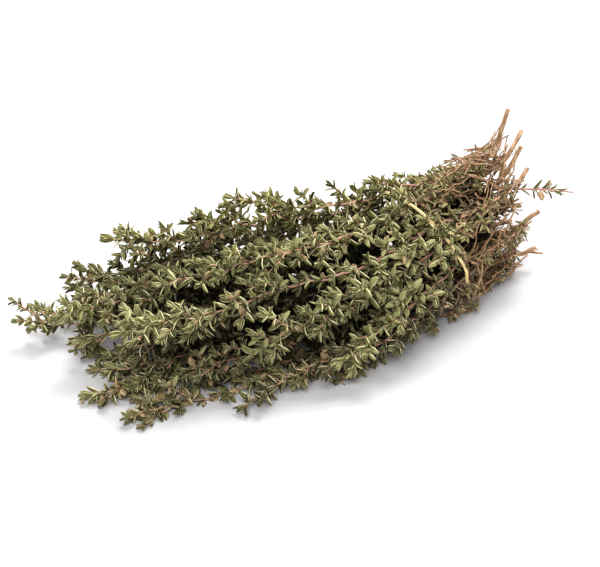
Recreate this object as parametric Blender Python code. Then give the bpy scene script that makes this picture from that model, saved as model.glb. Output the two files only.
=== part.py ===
"""A tied bundle of cut thyme, lying on a flat surface.

Units are metres, +Z is up. The bundle lies along X: the cut ends of the woody stems point to +X and
the leafy tips fan out to -X. Every sprig is a brown woody stem that forks into three leafy shoots, and
a thin straw band is tied round the waist. Each stem, each shoot and the band is one solid of its own.

A shoot is a square young stem. Its leaves and side branches are extruded from the stem's own faces,
in opposite pairs that turn by a quarter at each node, so that the whole shoot is one closed body.
"""

import math
import random
from collections import defaultdict
from dataclasses import dataclass, field

import bmesh
import bpy
from mathutils import Vector

MM = 0.001
UP = Vector((0.0, 0.0, 1.0))
SEED = 21
GAP = 0.3 * MM

# The bundle's envelope along X, for the middle lines of the stems; leaves reach about 5 mm further.
# Each station: x, middle y, half width, half height, lift of the lowest stems, all in millimetres.
STATIONS = (
    (140, 18, 16, 20, 4.0),
    (112, 15, 18, 25, 3.2),
    (85, 9, 26, 27, 3.2),
    (62, 4, 31, 26, 3.2),
    (38, 1, 39, 25, 2.6),
    (12, 2, 48, 24, 0.6),
    (-25, 8, 51, 23, 0.0),
    (-65, 15, 55, 20, 0.0),
    (-98, 24, 50, 16, 0.0),
    (-135, 32, 42, 12, 0.0),
)
SAG = 1.4
BELLY_FLATNESS = 0.8

# Where the sprigs run in the bundle's round section: rings of (radius, count, first angle in degrees).
# Angle 90 is the top of the bundle and 180 its near side, -Y.
SPRIG_RINGS = ((0.34, 4, 45), (0.79, 8, 90))
SHOOT_SPREAD = 0.155
SHOOT_LETTERS = "abc"
SHOOT_ANGLES = (62.0, -62.0, 180.0)
SHOOT_REACH = (0.82, 1.0, 0.91)
REACH_SCATTER = 0.06
TIP_X = -102 * MM
NEAR_SHORTER = 15 * MM
FAR_SHORTER = 34 * MM
TOP_SHORTER = 16 * MM

# Wood
FORK_X = 97 * MM
CUT_X = 119 * MM
FORK_SCATTER = 5 * MM
CUT_SCATTER = 6 * MM
FORK_RADIUS = 1.8 * MM
WOOD_RADIUS = 1.15 * MM
FORK_OFFSET = 1.15 * MM
FORK_BLEND = 42 * MM

# Young stems
STEM_HALF = 0.6 * MM
STEM_TIP_HALF = 0.45 * MM
BRANCH_HALF = 0.42 * MM
NODE_LENGTH = 1.2 * MM
FIRST_BARE = 9 * MM
LAST_STEP = 7.5 * MM
STEP_GROWTH = 1.13
INNER_STEP_GROWTH = 1.26
WOBBLE = Vector((0.0, 2.6 * MM, 1.6 * MM))
SPLAY = 9 * MM
SPLAY_RUN = 55 * MM
CORNER = 1.4

# Side branches
BRANCHES = 3
BRANCH_ANGLE = 46.0
BRANCH_LENGTHS = (10.5 * MM, 8.5 * MM, 7.0 * MM)
BRANCH_ROOM = 1.0 * MM
BRANCH_LOWEST = 1.2 * MM

# Leaves
LEAF_LENGTH = 6.6 * MM
LEAF_WIDTH = 3.0 * MM
LEAF_WIDEST = 0.45
LEAF_ANGLE = 54.0
LEAF_LEAN = 7.0
SPIKE_LENGTH = 4.4 * MM
SPIKE_WIDTH = 1.0 * MM
SPIKE_ANGLE = 50.0
BUD_LENGTH = 3.0 * MM

# What a leaf tries until it finds room: more tilt, turn to the side (degrees), share of its length.
LEAF_TRIES = (
    (0, 0, 1.0),
    (12, 14, 1.0),
    (12, -14, 1.0),
    (-12, 0, 0.95),
    (22, 0, 0.85),
    (0, 26, 0.85),
    (0, -26, 0.85),
    (0, 0, 0.72),
    (18, 20, 0.7),
    (18, -20, 0.7),
)

# Band
BAND_MIDDLE = Vector((61 * MM, 5 * MM, 25 * MM))
BAND_SLANT = Vector((1.0, 0.2, 0.48))
BAND_RADIUS = 0.6 * MM
BAND_POINTS = 28
BAND_REACH = 0.97

# The sprig tied in backward, and the forked twig on the surface, in millimetres
BACKWARD_ENDS = ((96, 14, 39), (137, -2, 36))
BACKWARD_NODES = 5
BACKWARD_ARCH = 1.5 * MM
TWIG_POINTS = ((60, -16), (68, -18), (76, -18.5))
TWIG_SPUR = (63, -23)
TWIG_HALF = 0.7 * MM

# Tips and cut ends that stand out from the rest, by sprig and shoot: x, y and z in millimetres.
SHOOT_TIPS = {
    "5b": (42, 17, 55),
    "6a": (-39, -30, 17),
    "7a": (-48, -42, 3),
    "7b": (-6, -45, 13),
    "8a": (-101, -6, 3),
    "8b": (-92, -28, 3),
    "8c": (-84, 1, 8),
    "10c": (-109, 50, 11),
    "11a": (-29, 50, 38),
    "12a": (-12, 41, 50),
    "12b": (-64, 56, 36),
}
CUT_ENDS = {
    1: (126, 24, 50),
    5: (127, 26, 57),
    6: (124, 15, 43),
    7: (123, 3, 28),
    8: (122, 2, 9),
    9: (109, 4, 5),
    12: (123, 31, 66),
}


@dataclass
class Leaf:
    """A blade: an extruded wall, widest near its middle, drawn out to a point."""

    direction: Vector
    length: float


@dataclass
class Spike:
    """One of the small narrow leaves in the axils: a wall drawn out to a point."""

    direction: Vector
    length: float


@dataclass
class Node:
    """A joint of the stem, with what grows from each of its four walls."""

    point: Vector
    direction: Vector
    u: Vector
    v: Vector
    half: float
    growth: dict = field(default_factory=dict)

    def outward(self, wall):
        """Return the direction in which a wall faces."""
        return self.u * wall[0] + self.v * wall[1]


@dataclass
class Axis:
    """A stem or side branch: where it starts and its nodes, from the root to the tip."""

    key: str
    start: Vector
    heading: Vector
    half: float
    nodes: list
    parent: str = ""
    bud: float = BUD_LENGTH

    def line(self):
        """Return the stem's line, from its start to the tip of its bud."""
        last = self.nodes[-1]
        bud = last.point + last.direction * (NODE_LENGTH / 2 + self.bud)
        return [self.start] + [node.point for node in self.nodes] + [bud]


class Room:
    """The space taken so far, as balls in a grid, so that stems and leaves stay clear of each other."""

    CELL = 4.5 * MM

    def __init__(self):
        self.cells = defaultdict(list)

    def cell(self, point):
        """Return the grid cell that holds a point."""
        return tuple(math.floor(c / self.CELL) for c in point)

    def add(self, point, radius, owner):
        """Take a ball of space for its owner."""
        self.cells[self.cell(point)].append((point, radius, owner))

    def add_line(self, line, radius, owner):
        """Take the space along a line."""
        for point in line_points(line):
            self.add(point, radius, owner)

    def free(self, point, radius, skip):
        """Tell whether a ball stays clear of all that others hold, apart from the owners in skip."""
        i, j, k = self.cell(point)
        for di in (-1, 0, 1):
            for dj in (-1, 0, 1):
                for dk in (-1, 0, 1):
                    for other, size, owner in self.cells.get((i + di, j + dj, k + dk), ()):
                        if owner not in skip and (other - point).length < radius + size + GAP:
                            return False
        return True


def line_points(line):
    """Return points about a millimetre apart along a line."""
    points = []
    for start, end in zip(line, line[1:]):
        steps = max(1, math.ceil((end - start).length / MM))
        points += [start.lerp(end, s / steps) for s in range(steps)]
    return points + [line[-1]]


def smooth(t):
    """Ease from 0 to 1."""
    t = min(1.0, max(0.0, t))
    return t * t * (3.0 - 2.0 * t)


def envelope(x):
    """Return the envelope at x: middle y, half width, half height and lift."""
    at = x / MM
    i = 0
    while i < len(STATIONS) - 2 and at < STATIONS[i + 1][0]:
        i += 1
    left, right = STATIONS[i], STATIONS[i + 1]
    before, after = STATIONS[max(i - 1, 0)], STATIONS[min(i + 2, len(STATIONS) - 1)]
    span = right[0] - left[0]
    t = (at - left[0]) / span
    values = []
    for k in range(1, len(left)):
        slope_left = (right[k] - before[k]) / (right[0] - before[0]) * span
        slope_right = (after[k] - left[k]) / (after[0] - left[0]) * span
        value = ((2 * t**3 - 3 * t**2 + 1) * left[k] + (t**3 - 2 * t**2 + t) * slope_left
                 + (3 * t**2 - 2 * t**3) * right[k] + (t**3 - t**2) * slope_right)
        values.append(value * MM)
    return values


def place(x, a, b):
    """Return the point at x of a stem that runs at (a, b) of the unit disc: a is sideways, b is up."""
    middle, half_width, half_height, lift = envelope(x)
    if b < 0.0:
        floor_b = max(-1.0, b / math.sqrt(max(0.09, 1.0 - a * a)))
        b += (floor_b - b) * BELLY_FLATNESS
    height = 2.0 * half_height * ((1.0 + b) / 2.0) ** SAG
    return Vector((x, middle + a * half_width, lift + height))


def stem_axes(direction):
    """Return the two axes across a lying stem: sideways, then up."""
    u = UP.cross(direction).normalized()
    return u, direction.cross(u)


def carried_axes(u, direction):
    """Return the axes across a branch, with the first as near to u as it can be."""
    u = (u - direction * u.dot(direction)).normalized()
    return u, direction.cross(u)


class Sprig:
    """The route of one sprig: its place in the bundle's section, its fork and its cut end."""

    def __init__(self, number, radius, angle, draw):
        self.number = number
        self.angle = angle
        self.a = radius * math.cos(angle)
        self.b = radius * math.sin(angle)
        self.fork_x = FORK_X + draw.uniform(-FORK_SCATTER, FORK_SCATTER)
        self.cut_x = CUT_X + draw.uniform(-CUT_SCATTER, CUT_SCATTER)
        self.pull = Vector()
        if number in CUT_ENDS:
            self.cut_x = CUT_ENDS[number][0] * MM
            self.pull = Vector(CUT_ENDS[number]) * MM - place(self.cut_x, self.a, self.b)
        self.fork = place(self.fork_x, self.a, self.b)
        self.heading = (place(self.fork_x - 4 * MM, self.a, self.b) - self.fork).normalized()

    def wood_line(self):
        """Return the woody stem's points, from the fork to the cut end."""
        points = [self.fork]
        for t in (0.14, 0.36, 0.57, 0.78, 1.0):
            point = place(self.fork_x + (self.cut_x - self.fork_x) * t, self.a, self.b)
            points.append(point + self.pull * t * t)
        return points

    def shoot_start(self, k):
        """Return the middle of the k-th shoot's first face, just clear of the wood."""
        turn = self.angle + math.radians(SHOOT_ANGLES[k])
        offset = Vector((0.0, math.cos(turn), math.sin(turn))) * FORK_OFFSET
        offset -= self.heading * offset.dot(self.heading)
        return self.fork + self.heading * GAP + offset


class ShootRoute:
    """The smooth line that one shoot follows from its fork to its tip."""

    def __init__(self, sprig, k, draw):
        self.sprig = sprig
        self.letter = SHOOT_LETTERS[k]
        self.start = sprig.shoot_start(k)
        turn = sprig.angle + math.radians(SHOOT_ANGLES[k])
        self.a = sprig.a + SHOOT_SPREAD * math.cos(turn)
        self.b = sprig.b + SHOOT_SPREAD * math.sin(turn)
        rim = math.hypot(self.a, self.b)
        reach = SHOOT_REACH[(k + sprig.number) % 3] + draw.uniform(-REACH_SCATTER, REACH_SCATTER)
        shorter = (NEAR_SHORTER * max(0.0, -self.a) + FAR_SHORTER * max(0.0, self.a)
                   + TOP_SHORTER * max(0.0, self.b))
        self.tip_x = self.start.x + (TIP_X + shorter - self.start.x) * reach
        self.waves = [(draw.uniform(60, 110) * MM, draw.uniform(0.0, math.tau)) for _ in range(3)]
        self.inner = rim < 0.55
        self.pull = Vector()
        tip = SHOOT_TIPS.get(f"{sprig.number}{self.letter}")
        if tip:
            self.tip_x = tip[0] * MM
            self.pull = Vector(tip) * MM - self.at(self.tip_x)

    def at(self, x):
        """Return the route's point at x."""
        offset = self.start - self.sprig.fork
        together = place(x, self.sprig.a, self.sprig.b) + Vector((0.0, offset.y, offset.z))
        point = together.lerp(place(x, self.a, self.b), smooth((self.start.x - x) / FORK_BLEND))
        fan = smooth((50 * MM - x) / (90 * MM))
        for axis, (length, phase) in enumerate(self.waves):
            point[axis] += WOBBLE[axis] * fan * math.sin(math.tau * x / length + phase)
        late = 1.0 - (x - self.tip_x) / SPLAY_RUN
        point.y += SPLAY * self.a * max(0.0, late) ** 2
        part = (self.start.x - x) / (self.start.x - self.tip_x)
        return point + self.pull * part**3

    def node_xs(self):
        """Return where the nodes are, from the first to the tip, closer together towards the tip."""
        xs = [self.tip_x]
        step = LAST_STEP
        growth = INNER_STEP_GROWTH if self.inner else STEP_GROWTH
        while xs[-1] + step < self.start.x - FIRST_BARE:
            xs.append(xs[-1] + step)
            step *= growth
        return xs[::-1]


def plan_shoot(route):
    """Return a shoot's main stem as an axis with bare nodes."""
    points = [route.at(x) for x in route.node_xs()]
    nodes = []
    for i, point in enumerate(points):
        half = STEM_HALF + (STEM_TIP_HALF - STEM_HALF) * i / (len(points) - 1)
        point.z = max(point.z, half)
        behind = points[i - 1] if i else route.start
        ahead = points[i + 1] if i + 1 < len(points) else point
        direction = (ahead - behind).normalized()
        nodes.append(Node(point, direction, *stem_axes(direction), half))
    key = f"{route.sprig.number:02d}{route.letter}"
    return Axis(key, route.start, route.sprig.heading, STEM_HALF, nodes)


def plan_stem(key, points, half, bud=BUD_LENGTH):
    """Return a free-standing stem through points as an axis with bare nodes."""
    nodes = []
    for i in range(1, len(points)):
        ahead = points[min(i + 1, len(points) - 1)]
        direction = (ahead - points[i - 1]).normalized()
        nodes.append(Node(points[i], direction, *stem_axes(direction), half))
    return Axis(key, points[0], (points[1] - points[0]).normalized(), half, nodes, bud=bud)


def plan_backward_sprig():
    """Return the short sprig that was tied in the wrong way round."""
    start, tip = (Vector(end) * MM for end in BACKWARD_ENDS)
    points = []
    for i in range(BACKWARD_NODES + 1):
        t = i / BACKWARD_NODES
        point = start.lerp(tip, t)
        point.z += BACKWARD_ARCH * 4.0 * t * (1.0 - t)
        points.append(point)
    return plan_stem("backward", points, STEM_TIP_HALF)


def plan_twig():
    """Return the bare forked twig on the surface."""
    points = [Vector((x * MM, y * MM, TWIG_HALF)) for x, y in TWIG_POINTS]
    twig = plan_stem("twig", points, TWIG_HALF, bud=0.0)
    fork = twig.nodes[0]
    tip = Vector((TWIG_SPUR[0] * MM, TWIG_SPUR[1] * MM, TWIG_HALF))
    wall = max(((1, 0), (-1, 0)), key=lambda w: fork.outward(w).dot(tip - fork.point))
    start = fork.point + fork.outward(wall) * fork.half
    heading = (tip - start).normalized()
    end = Node(tip, heading, *carried_axes(fork.direction, heading), TWIG_HALF * 0.8)
    fork.growth[wall] = Axis("twig spur", start, heading, TWIG_HALF * 0.8, [end], "twig", 0.0)
    return twig


def plan_branch(parent, node, wall, length, draw):
    """Return a one-node side branch that leaves a node's wall."""
    angle = math.radians(BRANCH_ANGLE + draw.uniform(-6, 6))
    heading = (node.outward(wall) * math.sin(angle) + node.direction * math.cos(angle)).normalized()
    bend = (heading + node.direction * 0.25).normalized()
    start = node.point + node.outward(wall) * node.half
    tip = start + heading * (length * 0.5) + bend * (length * 0.5)
    u, v = carried_axes(node.direction, bend)
    end = Node(tip, bend, u, v, BRANCH_HALF)
    return Axis(f"{parent.key}.{node.point.x:.4f}", start, heading, BRANCH_HALF, [end], parent.key)


def add_branches(axis, room, draw):
    """Give a shoot its side branches, where there is room, outward from the bundle first."""
    wanted = BRANCHES
    spots = list(range(1, len(axis.nodes) - 2))
    draw.shuffle(spots)
    for i in spots:
        if wanted == 0:
            return
        node = axis.nodes[i]
        small_walls = [(0, 1), (0, -1)] if i % 2 == 0 else [(1, 0), (-1, 0)]
        away = node.point - place(node.point.x, 0.0, 0.0)
        small_walls.sort(key=lambda wall: -node.outward(wall).dot(away))
        branch = first_free_branch(axis, node, small_walls, room, draw)
        if branch:
            wall, side = branch
            node.growth[wall] = side
            room.add_line(side.line(), BRANCH_HALF * CORNER, side.key)
            wanted -= 1


def first_free_branch(axis, node, walls, room, draw):
    """Return the first wall and branch that has room, the longest first."""
    for length in BRANCH_LENGTHS:
        for wall in walls:
            side = plan_branch(axis, node, wall, length, draw)
            points = line_points(side.line())
            if all(p.z > BRANCH_LOWEST and room.free(p, BRANCH_ROOM, {axis.key}) for p in points):
                return wall, side
    return None


def leaf_directions(node, wall, angle, draw):
    """Yield the ways in which a leaf could leave a wall, the natural one first."""
    out, along = node.outward(wall), node.direction
    side = along.cross(out)
    lean = draw.uniform(-LEAF_LEAN, LEAF_LEAN)
    for more, twist, scale in LEAF_TRIES:
        tilt, turn = math.radians(angle + lean + more), math.radians(twist)
        flat = out * math.cos(turn) + side * math.sin(turn)
        yield (flat * math.sin(tilt) + along * math.cos(tilt)).normalized(), scale


def add_leaf(axis, i, wall, room, draw, blade):
    """Give one wall of node i a leaf, or a spike, if there is room for it."""
    node = axis.nodes[i]
    owner = f"{axis.key} leaf {i}"
    length = (LEAF_LENGTH if blade else SPIKE_LENGTH) * draw.uniform(0.88, 1.12)
    angle = LEAF_ANGLE if blade else SPIKE_ANGLE
    start = node.point + node.outward(wall) * node.half
    widest = LEAF_WIDTH / 2 if blade else SPIKE_WIDTH / 2
    for direction, scale in leaf_directions(node, wall, angle, draw):
        reach = length * scale
        # Three balls cover the leaf. Each must stay above the surface: the widest by the leaf's own
        # half height there, which depends on how level the blade is, the last by almost nothing.
        level = abs(direction.cross(node.direction.cross(node.outward(wall))).z)
        half_height = (NODE_LENGTH / 3) * level + widest * math.sqrt(max(0.0, 1.0 - level**2))
        balls = ((0.4, widest, half_height), (0.7, widest * 0.8, 0.5 * MM), (1.0, 0.35 * MM, 0.05 * MM))
        spots = [(start + direction * (reach * t), radius) for t, radius, _ in balls]
        clear = all(p.z > lowest for (p, _), (_, _, lowest) in zip(spots, balls))
        if clear and all(room.free(p, radius, {axis.key, owner}) for p, radius in spots):
            node.growth[wall] = Leaf(direction, reach) if blade else Spike(direction, reach)
            for point, radius in spots:
                room.add(point, radius, owner)
            return


def add_leaves(axis, room, draw, turn=0):
    """Clothe an axis: a pair of blades at each node, and a pair of spikes across them."""
    for i, node in enumerate(axis.nodes):
        pairs = [((1, 0), (-1, 0)), ((0, 1), (0, -1))]
        if (i + turn) % 2:
            pairs.reverse()
        for blade, pair in zip((True, False), pairs):
            for wall in pair:
                if wall not in node.growth:
                    add_leaf(axis, i, wall, room, draw, blade)


@dataclass
class End:
    """The face that a body grows on from, with its middle and its two axes."""

    face: object
    centre: Vector
    u: Vector
    v: Vector


def signs(vert, end):
    """Tell which corner of the end face a vertex is, as its side along each axis."""
    offset = vert.co - end.centre
    return (1 if offset.dot(end.u) > 0 else -1), (1 if offset.dot(end.v) > 0 else -1)


def extrude_to(bm, end, centre, u, v, half_u, half_v):
    """Extrude the end face to a new rectangle. Return the four new walls by their direction."""
    face = bmesh.ops.extrude_discrete_faces(bm, faces=[end.face])["faces"][0]
    corners = {vert: signs(vert, end) for vert in face.verts}
    walls = {}
    for loop in face.loops:
        one, two = corners[loop.vert], corners[loop.link_loop_next.vert]
        wall = [f for f in loop.edge.link_faces if f != face][0]
        walls[((one[0] + two[0]) // 2, (one[1] + two[1]) // 2)] = wall
    for vert, (su, sv) in corners.items():
        vert.co = centre + u * (su * half_u) + v * (sv * half_v)
    end.face, end.centre, end.u, end.v = face, centre, u, v
    return walls


def start_block(bm, centre, direction, half):
    """Start a stem with a short block. Return its far end."""
    u, v = stem_axes(direction)
    bmesh.ops.create_cube(bm, size=2.0)
    bm.normal_update()
    far = max(bm.faces, key=lambda face: face.normal.x)
    block = 0.5 * MM
    for vert in bm.verts:
        x, y, z = vert.co
        vert.co = centre + direction * (block if x > 0 else 0.0) + u * (y * half) + v * (z * half)
    return End(far, centre + direction * block, u, v)


def grow_axis(bm, axis, end):
    """Grow a stem from an open end through its nodes, then what its walls carry."""
    walls_at = []
    for node in axis.nodes:
        near = node.point - node.direction * (NODE_LENGTH / 2)
        far = node.point + node.direction * (NODE_LENGTH / 2)
        for ring in (near, far):
            if not axis.parent:
                ring.z = max(ring.z, node.half)
        extrude_to(bm, end, near, node.u, node.v, node.half, node.half)
        walls_at.append(extrude_to(bm, end, far, node.u, node.v, node.half, node.half))
    if axis.bud:
        bud = bmesh.ops.poke(bm, faces=[end.face])["verts"][0]
        bud.co = end.centre + axis.nodes[-1].direction * axis.bud
    for node, walls in zip(axis.nodes, walls_at):
        for wall, growth in node.growth.items():
            grow_from_wall(bm, node, walls[wall], node.outward(wall), growth)


def grow_from_wall(bm, node, face, out, growth):
    """Grow a leaf, a spike or a side branch from one wall of a node."""
    centre = face.calc_center_median()
    if isinstance(growth, Spike):
        bmesh.ops.poke(bm, faces=[face])["verts"][0].co = centre + growth.direction * growth.length
        return
    if isinstance(growth, Axis):
        grow_axis(bm, growth, End(face, centre, node.direction, out.cross(node.direction)))
        return
    thick_axis = (node.direction - growth.direction * node.direction.dot(growth.direction)).normalized()
    wide_axis = thick_axis.cross(growth.direction)
    made = bmesh.ops.poke(bm, faces=[face])
    made["verts"][0].co = centre + growth.direction * growth.length
    for side in (-1, 1):
        flank = max(made["faces"], key=lambda f: side * (f.calc_center_median() - centre).dot(wide_axis))
        made["faces"].remove(flank)
        widest = centre + growth.direction * (growth.length * LEAF_WIDEST)
        widest += wide_axis * (side * LEAF_WIDTH / 2)
        bmesh.ops.poke(bm, faces=[flank])["verts"][0].co = widest


def material(name, colour, roughness):
    """Make a plain material of one colour."""
    made = bpy.data.materials.new(name)
    made.use_nodes = True
    shader = made.node_tree.nodes["Principled BSDF"]
    shader.inputs["Base Color"].default_value = (*colour, 1.0)
    shader.inputs["Roughness"].default_value = roughness
    shader.inputs["Metallic"].default_value = 0.0
    return made


def add_object(name, data, collection, made):
    """Put a mesh or curve in the scene as an object with its material."""
    data.materials.append(made)
    shape = bpy.data.objects.new(name, data)
    collection.objects.link(shape)
    return shape


def stem_object(name, axis, collection, made):
    """Build one stem with all that it carries as one closed mesh."""
    bm = bmesh.new()
    grow_axis(bm, axis, start_block(bm, axis.start, axis.heading, axis.half))
    mesh = bpy.data.meshes.new(name)
    bm.to_mesh(mesh)
    bm.free()
    return add_object(name, mesh, collection, made)


def tube(name, line, radii, cyclic, collection, made):
    """Build a six-sided tube along a line."""
    curve = bpy.data.curves.new(name, "CURVE")
    curve.dimensions = "3D"
    curve.bevel_depth = 1.0
    curve.bevel_resolution = 1
    curve.use_fill_caps = not cyclic
    spline = curve.splines.new("POLY")
    spline.points.add(len(line) - 1)
    for target, point, radius in zip(spline.points, line, radii):
        target.co = (*point, 1.0)
        target.radius = radius
    spline.use_cyclic_u = cyclic
    return add_object(name, curve, collection, made)


def band_line():
    """Return the closed line of the band: round the outermost stems, on a slanted plane."""
    points = []
    for i in range(BAND_POINTS):
        angle = math.tau * i / BAND_POINTS
        x = BAND_MIDDLE.x
        for _ in range(12):
            point = place(x, BAND_REACH * math.cos(angle), BAND_REACH * math.sin(angle))
            offset = point - BAND_MIDDLE
            x = BAND_MIDDLE.x - (BAND_SLANT.y * offset.y + BAND_SLANT.z * offset.z) / BAND_SLANT.x
        if point.z < BAND_MIDDLE.z:
            # The stems arch a little off the surface here, and the band under them lies on it.
            point.z = max(BAND_RADIUS, point.z - envelope(x)[3])
        points.append(point)
    return points


def centre_on_origin(shapes):
    """Move the whole bundle so that its box is centred on the origin and stands on it."""
    bpy.context.view_layer.update()
    corners = [shape.matrix_world @ Vector(c) for shape in shapes for c in shape.bound_box]
    low = Vector(min(c[i] for c in corners) for i in range(3))
    high = Vector(max(c[i] for c in corners) for i in range(3))
    shift = Vector((-(low.x + high.x) / 2, -(low.y + high.y) / 2, -low.z))
    for shape in shapes:
        shape.location += shift


def main():
    """Build the whole bundle in an empty scene."""
    for old in list(bpy.data.objects):
        bpy.data.objects.remove(old, do_unlink=True)
    collection = bpy.data.collections.new("thyme_bundle")
    bpy.context.scene.collection.children.link(collection)
    wood = material("wood", (0.36, 0.24, 0.18), 0.8)
    green = material("shoot", (0.30, 0.33, 0.17), 0.65)
    straw = material("straw", (0.80, 0.70, 0.48), 0.6)

    draw = random.Random(SEED)
    sprigs = []
    for radius, count, first in SPRIG_RINGS:
        for i in range(count):
            angle = math.radians(first + 360.0 * i / count)
            sprigs.append(Sprig(len(sprigs) + 1, radius, angle, draw))
    routes = [ShootRoute(sprig, k, draw) for sprig in sprigs for k in range(len(SHOOT_LETTERS))]
    axes = [plan_shoot(route) for route in routes]

    room = Room()
    band = band_line()
    room.add_line(band + band[:1], BAND_RADIUS, "band")
    for sprig in sprigs:
        room.add_line(sprig.wood_line(), FORK_RADIUS, f"wood {sprig.number}")
    backward, twig = plan_backward_sprig(), plan_twig()
    for axis in (*axes, backward, twig, *twig.nodes[0].growth.values()):
        room.add_line(axis.line(), axis.half * CORNER, axis.key)
    for route, axis in zip(routes, axes):
        if not route.inner:
            add_branches(axis, room, draw)
    axes.append(backward)
    for axis in axes:
        add_leaves(axis, room, draw)
        for node in axis.nodes:
            for branch in [g for g in node.growth.values() if isinstance(g, Axis)]:
                add_leaves(branch, room, draw, turn=1)

    shapes = [tube("tie", band, [BAND_RADIUS] * len(band), True, collection, straw)]
    for sprig in sprigs:
        line = sprig.wood_line()
        radii = [FORK_RADIUS, FORK_RADIUS * 0.9] + [WOOD_RADIUS] * (len(line) - 2)
        shapes.append(tube(f"woody_stem_{sprig.number:02d}", line, radii, False, collection, wood))
    shapes += [stem_object(f"leafy_shoot_{axis.key}", axis, collection, green) for axis in axes]
    shapes.append(stem_object("floor_twig", twig, collection, wood))
    centre_on_origin(shapes)


if __name__ == "__main__":
    main()
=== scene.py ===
"""The looks of a tied bundle of cut thyme that lies on a pale surface.

The stems follow the same routes as the solids that they replace. Each sprig is a brown woody stem that
forks into three young shoots. The shoots carry crossed pairs of small oval leaves with pale rolled rims,
clusters of smaller leaves between them, short side branches and a tuft at every tip.
"""

import logging
import math
import random
from collections.abc import Iterator
from dataclasses import dataclass, field, replace
from enum import Enum

import bmesh
import bpy
import numpy as np
from mathutils import Matrix, Vector


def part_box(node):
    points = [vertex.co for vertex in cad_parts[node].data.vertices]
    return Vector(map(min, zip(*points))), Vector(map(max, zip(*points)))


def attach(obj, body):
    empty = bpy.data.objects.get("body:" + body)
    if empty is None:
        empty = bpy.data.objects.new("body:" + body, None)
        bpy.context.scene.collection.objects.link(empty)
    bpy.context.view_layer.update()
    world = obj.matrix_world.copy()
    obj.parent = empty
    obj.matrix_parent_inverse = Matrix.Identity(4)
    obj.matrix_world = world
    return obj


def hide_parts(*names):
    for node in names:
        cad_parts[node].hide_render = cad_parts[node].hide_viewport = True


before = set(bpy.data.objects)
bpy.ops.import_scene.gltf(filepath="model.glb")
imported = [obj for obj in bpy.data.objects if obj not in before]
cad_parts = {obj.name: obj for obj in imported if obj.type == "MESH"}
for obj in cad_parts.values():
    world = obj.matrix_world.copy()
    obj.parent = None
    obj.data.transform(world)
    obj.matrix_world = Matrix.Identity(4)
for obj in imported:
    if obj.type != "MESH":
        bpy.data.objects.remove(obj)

MM = 0.001
UP = Vector((0.0, 0.0, 1.0))
BLACK = (0.0, 0.0, 0.0)
WHITE = (1.0, 1.0, 1.0)
ROUTE_SEED = 21
LEAF_SEED = 400
log = logging.getLogger("thyme")


def clamp(value: float) -> float:
    """Keep a value between 0 and 1."""
    return min(1.0, max(0.0, value))


def smooth(t: float) -> float:
    """Ease from 0 to 1."""
    t = clamp(t)
    return t * t * (3.0 - 2.0 * t)


def keep_above(points: list[Vector], low: float) -> None:
    """Raise the points that lie lower than a height."""
    for point in points:
        point.z = max(point.z, low)


def across(direction: Vector, near: Vector) -> tuple[Vector, Vector]:
    """Find two axes across a direction.

    Args:
        direction: The unit direction.
        near: What the first axis stays as near to as it can.

    Returns:
        The two unit axes.
    """
    first = near - direction * near.dot(direction)
    if first.length < 1e-6:
        first = direction.orthogonal()
    first.normalize()
    return first, direction.cross(first)


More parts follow.
